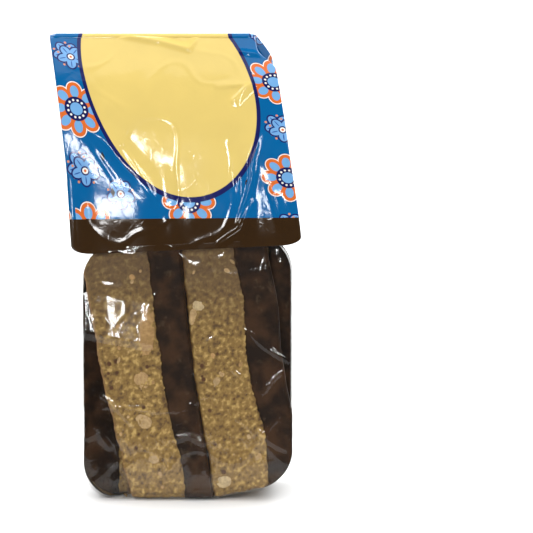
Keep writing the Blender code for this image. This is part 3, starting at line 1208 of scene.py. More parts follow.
@dataclass(frozen=True)
class PackForm:
    """Outer form of the pack: gusseted, leaning above the slices, folded back over a crest."""

    width: float = 83.2
    depth: float = 54.0
    shift: float = -0.6
    clear_height: float = 100.0
    slice_height: float = 140.0
    crest_height: float = 185.0
    crest_depth: float = 4.0
    crest_y: float = -4.0
    printed_seal: float = 3.8
    clear_seal: float = 0.6
    seal_thickness: float = 1.0
    seal_corner_radius: float = 3.4
    base_corner_radius: float = 15.0
    base_edge_radius: float = 6.0
    lean_slope: float = 0.076
    lean_curl: float = 0.061
    top_taper: float = 1.0
    shoulder_depth: float = 4.6
    shoulder_height: float = 12.0
    shoulder_power: float = 2.5
    notch_depth: float = 6.0
    notch_height: float = 171.5
    notch_reach: float = 8.5
    base_rise_slope: float = 0.21
    base_flat_right: float = 9.0
    base_rise_fade: float = 60.0
    band_tilt: float = 0.044
    band_tilt_reach: float = 45.0
    gusset_depth: float = 11.0
    seam_width: float = 12.0
    seam_step: float = 0.8
    rear_dip_top: float = 105.0
    front_bow: float = 2.6
    rear_bow: float = 1.5
    slice_lean: float = 0.15
    slice_pitch: float = 35.6
    slice_relief: float = 0.7
    layer_count: int = 4
    layer_relief: float = 0.6
    print_turn: tuple[float, float] = (-2.5, 10.5)
    print_turn_rise: float = 64.0

    def lean(self, height: Measure) -> Measure:
        """Sideways place of the pack's middle line at a height.

        Args:
            height: Height before any lift.

        Returns:
            Place across.
        """
        run = np.maximum(height - self.clear_height, 0.0)
        curl = run * run / (self.crest_height - self.clear_height)
        return self.shift - self.lean_slope * run - self.lean_curl * curl

    def seal_corner(self, height: Measure) -> Measure:
        """Round lower corner of the printed seals, from 0 to 1 at full width."""
        share = np.clip((height - self.clear_height) / self.seal_corner_radius, 0.0, 1.0)
        return np.sqrt(1.0 - (1.0 - share) ** 2)

    def side_edges(self, height: Measure, printed: bool = True) -> tuple[Measure, Measure]:
        """Left and right sides of the body, without its corner seals.

        Args:
            height: Height before any lift.
            printed: Whether the film is the printed one.

        Returns:
            Left and right place across.
        """
        climb = np.clip((height - self.clear_height) / self.shoulder_height + 1.0, 0.0, 1.0)
        inset = self.shoulder_depth * climb**self.shoulder_power
        if printed:
            inset = inset * (1.0 - self.seal_corner(height))
        taper = self.top_taper * smoothstep(height, self.clear_height, self.slice_height)
        half = self.width / 2 - corner_inset(height, self.base_corner_radius) - inset - taper
        notch = self.notch_depth * smoothstep(height, self.notch_height, self.notch_height + self.notch_reach)
        middle = self.lean(height)
        return middle - half, middle + half - notch

    def seal_width(self, height: Measure, printed: bool = True) -> Measure:
        """How far the corner seals stand out at a height.

        Args:
            height: Height before any lift.
            printed: Whether the film is the printed one.

        Returns:
            The width.
        """
        wider = self.seal_corner(height) if printed else 0.0
        width = self.clear_seal + (self.printed_seal - self.clear_seal) * wider
        return width * smoothstep(height, 0.0, self.base_corner_radius)

    def panel_faces(self, height: Measure) -> tuple[Measure, Measure]:
        """Front and rear of the body at a height.

        Args:
            height: Height before any lift.

        Returns:
            Front and rear place along the depth.
        """
        edge = corner_inset(height, self.base_edge_radius)
        up = np.maximum(height - self.clear_height, 0.0) / (self.crest_height - self.clear_height)
        back = np.maximum(height - self.slice_height, 0.0) / (self.crest_height - self.slice_height)
        half = self.depth / 2
        front = -half + edge + (self.crest_y - self.crest_depth / 2 + half) * up**self.front_bow
        rear = half - edge + (self.crest_y + self.crest_depth / 2 - half) * back**self.rear_bow
        return front, rear

    def panel_dip(self, x: Measure, height: float, top: float) -> Measure:
        """Dip of the film between two leaning slices.

        Args:
            x: Place across.
            height: Height before any lift.
            top: Height at which the dip ends.

        Returns:
            Depth of the dip.
        """
        rising = smoothstep(height, 6.0, 21.0) * (1.0 - smoothstep(height, top - 15.0, top))
        along = (x + self.slice_lean * (height - self.clear_height / 2)) / self.slice_pitch
        return self.slice_relief * rising * np.cos(np.pi * along) ** 8

    def lift(self, x: Measure, height: Measure) -> Measure:
        """How far the low right of the base and the band's tilt raise a point.

        Args:
            x: Place across.
            height: Height before the lift.

        Returns:
            The lift.
        """
        fade = np.maximum(1.0 - height / self.base_rise_fade, 0.0)
        rise = self.base_rise_slope * np.maximum(x - self.base_flat_right, 0.0) * fade
        near = np.maximum(1.0 - np.abs(height - self.clear_height) / self.band_tilt_reach, 0.0)
        return rise + self.band_tilt * x * near

    def side_inset(self, share: Measure, height: float) -> Measure:
        """How far a side is folded in, at shares of the depth.

        Args:
            share: Share of the depth, from the front.
            height: Height before any lift.

        Returns:
            The inset.
        """
        up = max(height - self.slice_height, 0.0) / (self.crest_height - self.slice_height)
        fold = self.gusset_depth * math.sin(math.pi * up) ** 0.8 if 0.0 < up < 1.0 else 0.0
        rising = smoothstep(height, 6.0, 21.0) * (1.0 - smoothstep(height, 125.0, 140.0))
        wave = np.abs(np.sin(np.pi * self.layer_count * share))
        return fold * (1.0 - np.abs(2.0 * share - 1.0)) + self.layer_relief * rising * (1.0 - wave)

    def climb(self, z: Measure) -> Measure:
        """Length of film up the front from the printed part's lower edge.

        Args:
            z: Height.

        Returns:
            The length.
        """
        heights = np.linspace(self.clear_height, self.crest_height, 200)
        front, _ = self.panel_faces(heights)
        run = np.concatenate([[0.0], np.cumsum(np.hypot(np.diff(heights), np.diff(front)))])
        over = np.maximum(z - self.crest_height, 0.0)
        under = np.minimum(z - self.clear_height, 0.0)
        return np.interp(z, heights, run) + over + under

    def print_height(self, x: Measure, z: Measure, middle: Measure) -> Measure:
        """Height on the film's print at points of the front.

        Args:
            x: Place across.
            z: Height.
            middle: Place across of the pack's middle.

        Returns:
            Height on the print.
        """
        first, more = self.print_turn
        turn = first + more * np.clip((z - self.clear_height) / self.print_turn_rise, 0.0, 1.1)
        return self.climb(z) + np.tan(np.radians(turn)) * (x - middle)


@dataclass(frozen=True)
class RingCounts:
    """How many steps each stretch of a ring has."""

    front: int
    fin: int
    side: int
    rear: int


class FilmTube:
    """Tube of film round the pack, ring by ring, with the map of its print."""

    def __init__(self, form: PackForm, counts: RingCounts, printed: bool) -> None:
        """Hold the form and the steps of a ring.

        Args:
            form: Form of the pack.
            counts: Steps of a ring.
            printed: Whether the film is the printed one.
        """
        self.form = form
        self.counts = counts
        self.printed = printed

    def ring(self, height: float) -> tuple[np.ndarray, np.ndarray]:
        """One ring, counter-clockwise from above, from the middle of the rear.

        Args:
            height: Height of the ring before it is lifted.

        Returns:
            Points as (x, y), and their run across the film with one column more.
        """
        form, counts = self.form, self.counts
        left, right = (float(edge) for edge in form.side_edges(height, self.printed))
        front, rear = (float(face) for face in form.panel_faces(height))
        fin = float(form.seal_width(height, self.printed))
        middle = float(form.lean(height))
        lip = min(form.seal_thickness, 0.25 * (rear - front))
        tip = 0.45 * lip
        share = np.arange(counts.side) / counts.side
        side_y = front + lip + (rear - front - 2 * lip) * share
        inset = form.side_inset(share, height)
        fins = np.arange(counts.fin) / counts.fin
        half = counts.rear // 2
        rear_xs = middle + (left - fin - middle) * np.arange(half) / half
        rear_xs_right = right + fin + (middle - right - fin) * np.arange(half) / half
        front_xs = np.linspace(left - fin, right + fin, counts.front + 1)

        def rear_y(xs: np.ndarray) -> np.ndarray:
            """Rear film over the slices, with its lap seam.

            Args:
                xs: Places across.

            Returns:
                Places along the depth.
            """
            away = np.abs(xs - middle) - form.seam_width / 2
            seam = form.seam_step * (1.0 - smoothstep(away, -0.3, 0.5))
            dip = form.panel_dip(xs, height, form.rear_dip_top) * smoothstep(away, 0.0, 2.0)
            return rear + seam * float(smoothstep(height, 0.0, form.base_edge_radius)) - dip

        stretches = [
            np.stack([rear_xs, rear_y(rear_xs)], 1),
            np.stack([left - fin + fin * fins, rear - tip - (lip - tip) * fins], 1),
            np.stack([left + inset[::-1], (side_y + (rear - front - 2 * lip) / counts.side)[::-1]], 1),
            np.stack([left - fin * fins, front + lip - (lip - tip) * fins], 1),
            np.stack([front_xs, front + form.panel_dip(front_xs, height, form.slice_height)], 1),
            np.stack([right + fin - fin * fins, front + tip + (lip - tip) * fins], 1),
            np.stack([right - inset, side_y], 1),
            np.stack([right + fin * fins, rear - lip + (lip - tip) * fins], 1),
            np.stack([rear_xs_right, rear_y(rear_xs_right)], 1),
        ]
        points = np.vstack(stretches)
        start = sum(len(stretch) for stretch in stretches[:4])
        return points, self.runs(points, start, len(front_xs), middle)

    def runs(self, points: np.ndarray, start: int, count: int, middle: float) -> np.ndarray:
        """Run across the film of a ring's points, 0 at the front's middle line.

        Args:
            points: Points of the ring.
            start: Number of the first front point.
            count: How many front points there are.
            middle: Place across of the middle line.

        Returns:
            Run of each point, and of the first one again.
        """
        steps = np.hypot(*(np.roll(points, -1, axis=0) - points).T)
        run = np.concatenate([[0.0], np.cumsum(steps)])
        run = run - run[start] + (points[start, 0] - middle)
        run[start : start + count] = points[start : start + count, 0] - middle
        return run

    def rings(self, heights: np.ndarray) -> tuple[np.ndarray, np.ndarray]:
        """Lifted rings and their charts.

        Args:
            heights: Height of each ring.

        Returns:
            Points as rows, columns and (x, y, z), and the chart with one column more.
        """
        rows, charts = [], []
        for height in heights:
            outline, run = self.ring(float(height))
            x = outline[:, 0]
            z = height + self.form.lift(x, height)
            rows.append(np.column_stack([outline, z]))
            middle = float(self.form.lean(height))
            edge = self.form.width / 2
            tilt_x = np.clip(np.append(x, x[0]), middle - edge, middle + edge)
            up = self.form.print_height(tilt_x, np.append(z, z[0]), middle)
            charts.append(np.column_stack([run, up]))
        return np.array(rows), np.array(charts)

    def front_columns(self) -> slice:
        """Columns of the front panel."""
        start = self.counts.rear // 2 + 2 * self.counts.fin + self.counts.side
        return slice(start, start + self.counts.front + 1)

    def slack(self, rows: int) -> np.ndarray:
        """How freely each point of the film can crinkle: 1 on the panels, 0 at the seals.

        Args:
            rows: How many rings there are.

        Returns:
            Slack of each point.
        """
        counts = self.counts
        columns = counts.rear + 4 * counts.fin + 2 * counts.side + counts.front + 1
        free = np.zeros(columns)
        half = counts.rear // 2
        front = self.front_columns()
        left, right = half + counts.fin, front.stop + counts.fin
        panels = [
            (0, half),
            (left, left + counts.side),
            (front.start, front.stop),
            (right, right + counts.side),
            (columns - half, columns),
        ]
        for first, last in panels:
            share = np.linspace(0.0, 1.0, last - first)
            from_start = share if first else np.ones(len(share))
            to_end = 1.0 - share if last < columns else np.ones(len(share))
            free[first:last] = smoothstep(np.minimum(from_start, to_end), 0.0, 0.06)
        return np.tile(free, (rows, 1))

    def crease_front(self, points: np.ndarray, creases: Sequence[Crease]) -> None:
        """Raise the creases in the front panel.

        Args:
            points: Points of the tube, which are moved.
            creases: The creases.
        """
        columns = self.front_columns()
        front = points[:, columns]
        x, z = front[..., 0], front[..., 2]
        slope = np.gradient(front[..., 1], axis=0) / np.maximum(np.gradient(z, axis=0), 1e-3)
        out = sum(crease.rise(x, z) for crease in creases)
        share = np.linspace(0.0, 1.0, x.shape[1])
        out = out * smoothstep(np.minimum(share, 1.0 - share), 0.0, 0.02)
        steep = np.hypot(1.0, slope)
        points[:, columns, 1] -= out / steep
        points[:, columns, 2] += out * slope / steep


# --- film sub-parts


@dataclass(frozen=True)
class PrintedSleeve:
    """Printed part of the film, from its lower edge up to the crest."""

    form: PackForm
    step: float = 0.62
    wall: float = 0.12
    counts: RingCounts = RingCounts(front=146, fin=3, side=26, rear=60)
    creases: tuple[Crease, ...] = (
        Crease(((-48, 154), (-32.6, 142), (-20.4, 129), (-14.4, 122), (-4, 114)), 0.6, 8.0, 5.0, 1.2, 0.25),
        Crease(((-30, 186), (-11.6, 182.8), (-0.4, 179.8), (3.2, 184.8)), 0.9, 3.0, 2.0, 1.6, 0.2),
        Crease(((30.8, 177.6), (24, 178.0), (18.8, 179.2)), 0.6, 1.6, 2.6),
        Crease(((33.2, 169.4), (37, 170.4)), 0.4, 1.2, 1.4),
        Crease(((24.5, 166.2), (16.6, 158.2)), 0.8, 3.6, 1.2, 1.0, 0.2),
        Crease(((10, 164.2), (23.2, 165.4)), 0.5, 3.0, 1.6),
        Crease(((28.4, 147), (24.8, 136), (24.8, 128.8), (23.2, 122), (19, 109.6)), 0.7, 3.2, 1.3, 1.6),
        Crease(((25.2, 120), (20.4, 108), (11.2, 102)), 0.8, 3.0, 1.3, 1.5),
        Crease(((19.6, 129), (19.2, 118)), 0.3, 1.2, 1.2),
        Crease(((32, 126), (35, 117), (37, 107)), 0.9, 5.0, 2.4, 1.5),
        Crease(((-35, 146), (-28, 136), (-23, 129)), 0.16, 1.8, 1.2, 1.4),
        Crease(((-29, 145), (-23, 136), (-18, 128)), 0.14, 1.6, 1.2, 1.4),
        Crease(((-24, 138), (-18, 129), (-13, 121)), 0.16, 1.8, 1.2, 1.4),
        Crease(((-39, 142), (-33, 133), (-29, 127)), 0.14, 1.6, 1.2, 1.4),
        Crease(((-18, 126), (-13, 119), (-10, 114)), 0.14, 1.4, 1.2, 1.4),
    )

    def build(self, trees: Growths, finish: bpy.types.Material) -> bpy.types.Object:
        """Build the sleeve as a thin shell closed at the crest.

        Args:
            trees: The geometry trees.
            finish: The printed film.

        Returns:
            The sleeve.
        """
        form = self.form
        tube = FilmTube(form, self.counts, printed=True)
        corner = form.clear_height + form.seal_corner_radius
        low = form.clear_height + form.seal_corner_radius * (1 - np.cos(np.linspace(0, np.pi / 2, 7)[:-1]))
        high = np.linspace(corner, form.crest_height, int((form.crest_height - corner) / self.step))
        points, chart = tube.rings(np.concatenate([low, high]))
        tube.crease_front(points, self.creases)
        slack = tube.slack(len(points))
        up = points[..., 2]
        slack = slack * smoothstep(up, form.clear_height, form.clear_height + 5.0)
        shape = GridShape(points, cap_end=True, chart=chart, marks={"slack": slack})
        sizes = {
            "Dent Height": 0.22 * MM, "Dent Size": 17.0 * MM, "Crease Height": 0.10 * MM,
            "Crease Size": 26.0 * MM, "Seed": 7.0, "Finish": finish,
        }
        made = grown("film_printed_sleeve", shape.mesh("sleeve"), trees.crinkle, sizes, self.wall * MM)
        return settle(made)


@dataclass(frozen=True)
class FoldedFlap:
    """Top of the pack, folded back over the crest and ending in a crimped seal."""

    form: PackForm
    length: float = 66.0
    thickness: float = 2.0
    sink: float = 0.6
    start: float = 4.5
    seal: float = 12.0
    rib_pitch: float = 2.0
    rib_height: float = 0.28
    crest_radius: float = 1.3
    crest_turn: float = 135.0
    tooth: float = 1.0
    tooth_pitch: float = 2.0
    columns: int = 184
    step: float = 0.45

    def path(self) -> np.ndarray:
        """Middle line of the flap, as rows of (y, z), from inside the crest to its end.

        Returns:
            Places along the depth and up.
        """
        form = self.form
        angles = np.radians(np.linspace(0.0, self.crest_turn, 14))
        over = np.column_stack([
            form.crest_y - self.crest_radius * np.cos(angles),
            form.crest_height - self.sink + self.crest_radius * np.sin(angles),
        ])
        heights = np.linspace(form.crest_height, form.crest_height - self.length - 5.0, 2000)
        rear = form.panel_faces(heights)[1]
        run = np.concatenate([[0.0], np.cumsum(np.hypot(np.diff(rear), np.diff(heights)))])
        stations = np.linspace(self.start, self.length, int((self.length - self.start) / self.step))
        y, z = np.interp(stations, run, rear), np.interp(stations, run, heights)
        down_y, down_z = np.gradient(y), np.gradient(z)
        size = np.hypot(down_y, down_z)
        offset = self.thickness / 2 - self.sink
        down = np.column_stack([y - down_z / size * offset, z + down_y / size * offset])
        return np.vstack([over, down])

    def build(self, trees: Growths, finish: bpy.types.Material) -> bpy.types.Object:
        """Build the flap as a closed slab of folded film.

        Args:
            trees: The geometry trees.
            finish: The printed film.

        Returns:
            The flap.
        """
        form = self.form
        path = self.path()
        along = np.gradient(path, axis=0)
        along /= np.hypot(*along.T)[:, None]
        out = np.column_stack([-along[:, 1], along[:, 0]])
        run = np.concatenate([[0.0], np.cumsum(np.hypot(*np.diff(path, axis=0).T))])
        left, right = (float(edge) for edge in form.side_edges(form.crest_height))
        unbent = form.notch_depth * smoothstep(run, 0.0, 2 * form.notch_reach)
        shift = form.lean_slope * run
        low = left + shift - form.printed_seal
        high = right + shift + form.printed_seal + unbent
        share = np.linspace(0.0, 1.0, self.columns)
        x = low[:, None] + (high - low)[:, None] * share
        half = np.full(x.shape, self.thickness / 2)
        half *= 0.35 + 0.65 * np.clip(np.minimum(share, 1.0 - share) / 0.03, 0.0, 1.0)
        to_end = run[-1] - run
        half *= (1.0 - 0.25 * smoothstep(-to_end, -self.seal, -self.seal + 1.5))[:, None]
        tooth = self.tooth * np.abs(2.0 * ((x / self.tooth_pitch) % 1.0) - 1.0)
        reach = smoothstep(-to_end, -2.0, 0.0)[:, None] * tooth
        layers = []
        for side in (1.0, -1.0):
            y = path[:, :1] - out[:, :1] * half * -side - along[:, :1] * reach
            z = path[:, 1:] + out[:, 1:] * half * side - along[:, 1:] * reach
            layers.append(np.stack([x, y, z], axis=-1))
        points = np.concatenate([layers[0], layers[1][:, ::-1]], axis=1)
        middle = (low + high) / 2
        first = float(form.lean(form.crest_height))
        u = x - (middle - middle[0] + first)[:, None]
        v = float(form.climb(form.crest_height)) + run[:, None] + np.zeros_like(x)
        v = v + math.tan(math.radians(sum(form.print_turn))) * u
        chart = np.stack([np.concatenate([a, a[:, ::-1], a[:, :1]], axis=1) for a in (u, v)], axis=-1)
        slack = np.concatenate([np.ones(x.shape), np.zeros(x.shape)], axis=1)
        slack *= smoothstep(run, 1.0, 5.0)[:, None]
        marks = {"slack": slack, "to_end": np.repeat(to_end[:, None] * MM, points.shape[1], axis=1)}
        shape = GridShape(points, cap_start=True, cap_end=True, chart=chart, marks=marks)
        sizes = {
            "Rib Height": self.rib_height * MM, "Rib Pitch": self.rib_pitch * MM,
            "Seal Length": self.seal * MM, "Dent Height": 0.8 * MM, "Dent Size": 20.0 * MM,
            "Seed": 9.0, "Finish": finish,
        }
        return settle(grown("film_folded_flap", shape.mesh("flap"), trees.crimp, sizes))


@dataclass(frozen=True)
class ClearBag:
    """Clear part of the film, from the base up to just inside the printed part."""

    form: PackForm
    step: float = 0.62
    wall: float = 0.1
    tuck: float = 2.5
    base_rings: int = 26
    taut_across: tuple[float, float] = (-31.0, 13.0)
    taut_up: tuple[float, float] = (74.0, 10.0)
    tautness: float = 0.85
    counts: RingCounts = RingCounts(front=136, fin=2, side=30, rear=70)
    creases: tuple[Crease, ...] = (
        Crease(((-49, 68.6), (-31, 65.3), (-14, 62.2)), 1.7, 16.0, 2.6, 1.0, 0.15),
        Crease(((9, 91.5), (18, 90.5), (30, 92), (41, 97.5)), 0.45, 1.6, 1.4),
        Crease(((0.8, 86), (1.0, 62), (4.4, 34), (7, 4)), 0.5, 1.2, 1.0, 1.6, 0.1),
        Crease(((-6, 24.4), (0, 26.4), (6.5, 22.8)), 0.8, 1.4, 1.6, 1.5),
        Crease(((-2, 2.6), (3, 4.2), (8, 2.4)), 0.7, 1.2, 1.4),
        Crease(((-40.5, 25), (-36, 27.2), (-31, 20.5)), 0.8, 1.4, 1.6, 1.5),
        Crease(((-39.6, 6.4), (-34, 10.6), (-28, 16)), 0.7, 1.4, 1.4),
        Crease(((22, 69), (31, 61), (41, 55)), 0.8, 1.8, 1.6, 1.5),
        Crease(((-7, 84), (-1, 69)), 0.6, 1.2, 1.4),
        Crease(((29, 42), (33, 48), (38, 52)), 0.6, 1.4, 1.2),
        Crease(((26, 30), (32, 24), (39, 20)), 0.8, 1.8, 1.6),
        Crease(((-12, 60), (-6, 44), (-4, 30)), 0.4, 1.6, 1.4),
        Crease(((12, 58), (20, 50), (26, 36)), 0.4, 1.6, 1.4),
        Crease(((-38, 44), (-30, 39), (-22, 30)), 0.45, 1.6, 1.6),
    )

    def build(self, trees: Growths, finish: bpy.types.Material) -> bpy.types.Object:
        """Build the clear film as a thin shell with its base.

        Args:
            trees: The geometry trees.
            finish: The clear film.

        Returns:
            The bag.
        """
        form = self.form
        tube = FilmTube(form, self.counts, printed=False)
        turn = np.linspace(0.0, np.pi / 2, self.base_rings)[:-1]
        low = form.base_corner_radius * (1.0 - np.cos(turn))
        top = form.clear_height + self.tuck
        high = np.linspace(form.base_corner_radius, top, int((top - form.base_corner_radius) / self.step))
        points, _ = tube.rings(np.concatenate([low, high]))
        tube.crease_front(points, self.creases)
        middle = np.array([float(form.lean(0.0)), 0.0, 0.0])
        base = []
        for share in np.linspace(0.08, 1.0, 16)[:-1]:
            row = middle + (points[0] - middle) * share
            row[:, 2] = form.lift(row[:, 0], 0.0)
            base.append(row)
        points = np.concatenate([np.array(base), points])
        slack = tube.slack(len(points)) * smoothstep(points[..., 2], 2.0, 12.0)
        slack = slack * (1.0 - smoothstep(points[..., 2], top - 5.0, top - 1.0))
        (taut_x, wide), (taut_z, tall) = self.taut_across, self.taut_up
        taut = np.exp(-(((points[..., 0] - taut_x) / wide) ** 2) - ((points[..., 2] - taut_z) / tall) ** 2)
        slack = slack * (1.0 - self.tautness * taut)
        shape = GridShape(points, cap_start=True, marks={"slack": slack})
        sizes = {
            "Dent Height": 0.8 * MM, "Dent Size": 17.0 * MM, "Crease Height": 0.16 * MM,
            "Crease Size": 21.0 * MM, "Seed": 2.0, "Finish": finish,
        }
        made = grown("film_clear_bag", shape.mesh("clear"), trees.crinkle, sizes, self.wall * MM)
        return settle(made)


# --- the slices


@dataclass(frozen=True)
class Biscotto:
    """One slice on its end: a domed crust on one side, a flat dipped base on the other."""

    name: str
    layer: int
    crust: Knots
    base: Knots
    dip: Knots
    seed: int
    pits: tuple[tuple[float, float, float], ...] = ()
    fine: bool = False
    top: float = 138.0
    forward: float = 0.0

    def dipped_side(self) -> Side:
        """Side that the dipped base faces."""
        return Side.RIGHT if self.base[0][1] > self.crust[0][1] else Side.LEFT


@dataclass(frozen=True)
class SliceShaper:
    """Shapes slices and their coats inside the pack's form."""

    form: PackForm
    trees: Growths
    finishes: Finishes
    slice_width: float = 36.0
    crumb_depth: float = 11.8
    crumb_low: float = 0.7
    crumb_end_radius: float = 1.6
    pitch: float = 12.85
    first_y: float = -25.2
    film_gap: float = 0.35
    panel_slack: float = 0.8
    proud: float = 0.5
    coat_low: float = 0.6
    coat_end_radius: float = 1.4
    coat_sink: float = 0.9
    coat_wall: float = 1.4
    coat_corner: float = 1.3

    def front_of(self, slice_: Biscotto) -> float:
        """Front of a slice's crumb."""
        return self.first_y + slice_.layer * self.pitch

    def hold(self, x: np.ndarray, y: np.ndarray, z: np.ndarray, spare: float) -> np.ndarray:
        """Keep points inside the film, with some room to spare, and lift them over the base.

        Args:
            x: Places across.
            y: Places along the depth.
            z: Heights.
            spare: Least distance from the film.

        Returns:
            The points.
        """
        left, right = self.form.side_edges(z, printed=False)
        front, rear = self.form.panel_faces(z)
        x = np.clip(x, left + spare, right - spare)
        room = spare + self.panel_slack
        y = np.clip(y, front + room, rear - room)
        return np.stack([x, y, z + self.form.lift(x, z)], axis=-1)

    def outline(self, slice_: Biscotto, z: np.ndarray) -> tuple[np.ndarray, np.ndarray]:
        """Crust side and base side of a slice at heights.

        Args:
            slice_: The slice.
            z: Heights.

        Returns:
            Places across of both sides.
        """
        crust = smooth_curve(slice_.crust, z) + 0.35 * soft_noise(len(z), 9.0, slice_.seed)
        base = smooth_curve(slice_.base, z) + 0.12 * soft_noise(len(z), 14.0, slice_.seed + 50)
        return crust, base

    def end_inset(self, z: np.ndarray, low: float, high: float, radius: float) -> np.ndarray:
        """Inset of a slice's round ends at heights; each end keeps a rim of 0.02 mm."""
        return corner_inset(z - low + 0.02, radius) + corner_inset(high - z + 0.02, radius)

    def crumb(self, slice_: Biscotto) -> bpy.types.Object:
        """Build a slice's crumb with its crust.

        Args:
            slice_: The slice.

        Returns:
            The crumb.
        """
        step = 0.5 if slice_.fine else 0.95
        low, high = self.crumb_low, slice_.top
        z = np.linspace(low, high, int((high - low) / step))
        crust, base = self.outline(slice_, z)
        inset = self.end_inset(z, low, high, self.crumb_end_radius)
        face = np.linspace(-1.0, 1.0, int(self.slice_width / step))
        edge = np.linspace(-1.0, 1.0, int(self.crumb_depth / 0.9))[1:-1]
        rear = np.linspace(1.0, -1.0, int(self.slice_width / 0.95))
        a = np.concatenate([face, np.ones(len(edge)), rear, -np.ones(len(edge))])
        b = np.concatenate([-np.ones(len(face)), edge, np.ones(len(rear)), edge[::-1]])
        size = (np.abs(a) ** 18 + np.abs(b) ** 9) ** (1.0 / 13.0)
        a, b = a / size, b / size
        side = slice_.dipped_side().value
        left = np.minimum(crust, base)
        right = np.maximum(crust, base)
        middle = (left + right) / 2
        half = (right - left) / 2 - inset
        deep = self.crumb_depth / 2 - inset
        x = middle[:, None] + half[:, None] * a
        swing = slice_.forward * np.clip(side * (x - middle[:, None]) / half[:, None], 0.0, 1.0) ** 3
        y = self.front_of(slice_) + self.crumb_depth / 2 + deep[:, None] * b - swing
        level = np.repeat(z[:, None], len(a), axis=1)
        points = self.hold(x, y, level, self.film_gap)
        browned = smoothstep(-side * a, 0.93, 1.0)[None, :] + 0.6 * (inset / self.crumb_end_radius)[:, None]
        pit = np.zeros(x.shape)
        for pit_x, pit_z, radius in slice_.pits:
            away = np.hypot(points[..., 0] - pit_x, points[..., 2] - pit_z)
            pit = np.maximum(pit, (1.0 - smoothstep(away, 0.35 * radius, radius)) * (b[None, :] < -0.8))
        covered = smooth_curve(slice_.dip, z)[:, None]
        bare = smoothstep(side * (base[:, None] - x), covered - 2.5, covered - 1.0)
        marks = {"crust": np.clip(browned, 0.0, 1.0), "pit": pit, "bare": bare}
        shape = GridShape(points, cap_start=True, cap_end=True, marks=marks)
        sizes = {
            "Grain Height": 1.6 * MM, "Grain Size": 1.75 * MM, "Pore Depth": 0.7 * MM,
            "Pore Size": 3.8 * MM, "Seed": float(slice_.seed), "Finish": self.finishes.crumb,
        }
        made = grown(f"biscotto_{slice_.name}", shape.mesh(slice_.name), self.trees.crumb, sizes)
        return settle(made)

    def coat(self, slice_: Biscotto) -> bpy.types.Object:
        """Build the chocolate round a slice's base, as a channel with a ragged edge.

        Args:
            slice_: The slice.

        Returns:
            The coat.
        """
        step = 0.7 if slice_.fine else 1.2
        low, high = self.coat_low, slice_.top + 0.3
        z = np.linspace(low, high, int((high - low) / step))
        crust, base = self.outline(slice_, z)
        depth = smooth_curve(slice_.dip, z)
        depth = depth + 0.25 * soft_noise(len(z), 6.0, slice_.seed + 7)
        depth = depth + 0.3 * soft_noise(len(z), 1.5, slice_.seed + 9)
        rear_depth = depth + 0.8 * soft_noise(len(z), 6.0, slice_.seed + 11)
        inset = self.end_inset(z, low, high, self.coat_end_radius)
        half = self.crumb_depth / 2
        outer = half + self.proud
        inner = half - self.coat_sink
        run = np.linspace(1.0, 0.0, 22)
        lip = np.clip((1.0 - run) / 0.05, 0.0, 1.0)
        face = half + (outer - half) * np.sqrt(np.clip(1.0 - (1.0 - lip) ** 2, 0.0, 1.0))
        bend = np.linspace(0.0, np.pi / 2, 5)[1:-1]
        corner = self.coat_corner
        flat = np.linspace(-(outer - corner), outer - corner, 9)
        cos, sin = corner * np.cos(bend), corner * np.sin(bend)
        ring = [(share, -deep, 0.0, 0) for share, deep in zip(run[:-1], face[:-1])]
        ring += [(0.0, -(outer - corner) - a, corner - b, 0) for a, b in zip(cos, sin)]
        ring += [(0.0, y, 0.0, 0) for y in flat]
        ring += [(0.0, outer - corner + b, corner - a, 1) for a, b in zip(cos, sin)]
        ring += [(share, deep, 0.0, 1) for share, deep in zip(run[::-1][1:], face[::-1][1:])]
        ring += [(share, inner, self.coat_wall, 1) for share in (0.85, 0.5, 0.15)]
        ring += [(share, -inner, self.coat_wall, 0) for share in (0.15, 0.5, 0.85)]
        share, deep, inwards, behind = (np.array(values) for values in zip(*ring))
        reach = np.where(behind[None, :] > 0, rear_depth[:, None], depth[:, None])
        side = slice_.dipped_side().value
        off = share * (reach + self.proud) + inwards - self.proud
        x = base[:, None] - side * (off + inset[:, None] * (share < 0.3))
        shrink = np.maximum(1.0 - inset / outer, 0.4)[:, None]
        across = 1.0 + 2.0 * side * (x - base[:, None]) / np.abs(base - crust)[:, None]
        swing = slice_.forward * np.clip(across, 0.0, 1.0) ** 3
        y = self.front_of(slice_) + half + deep[None, :] * shrink - swing
        level = np.repeat(z[:, None], len(share), axis=1)
        points = self.hold(x, y, level, self.film_gap - self.proud)
        if self.turned_in(points):
            points = points[:, ::-1]
        shape = GridShape(points, cap_start=True, cap_end=True)
        sizes = {
            "Wave Height": 0.45 * MM, "Wave Size": 10.0 * MM, "Seed": float(slice_.seed),
            "Finish": self.finishes.chocolate,
        }
        made = grown(f"dipped_base_{slice_.name}", shape.mesh(slice_.name + "_dip"), self.trees.coat, sizes)
        return settle(made)

    def turned_in(self, points: np.ndarray) -> bool:
        """Whether rings run clockwise from above, so that their faces would point in.

        Args:
            points: Rings of points.

        Returns:
            True where they run clockwise.
        """
        ring = points[len(points) // 2]
        after = np.roll(ring, -1, axis=0)
        return float((ring[:, 0] * after[:, 1] - after[:, 0] * ring[:, 1]).sum()) < 0.0


@dataclass(frozen=True)
class AlmondBit:
    """One almond piece that shows in a cut face."""

    x: float
    z: float
    width: float
    height: float
    turn: float
    toast: float


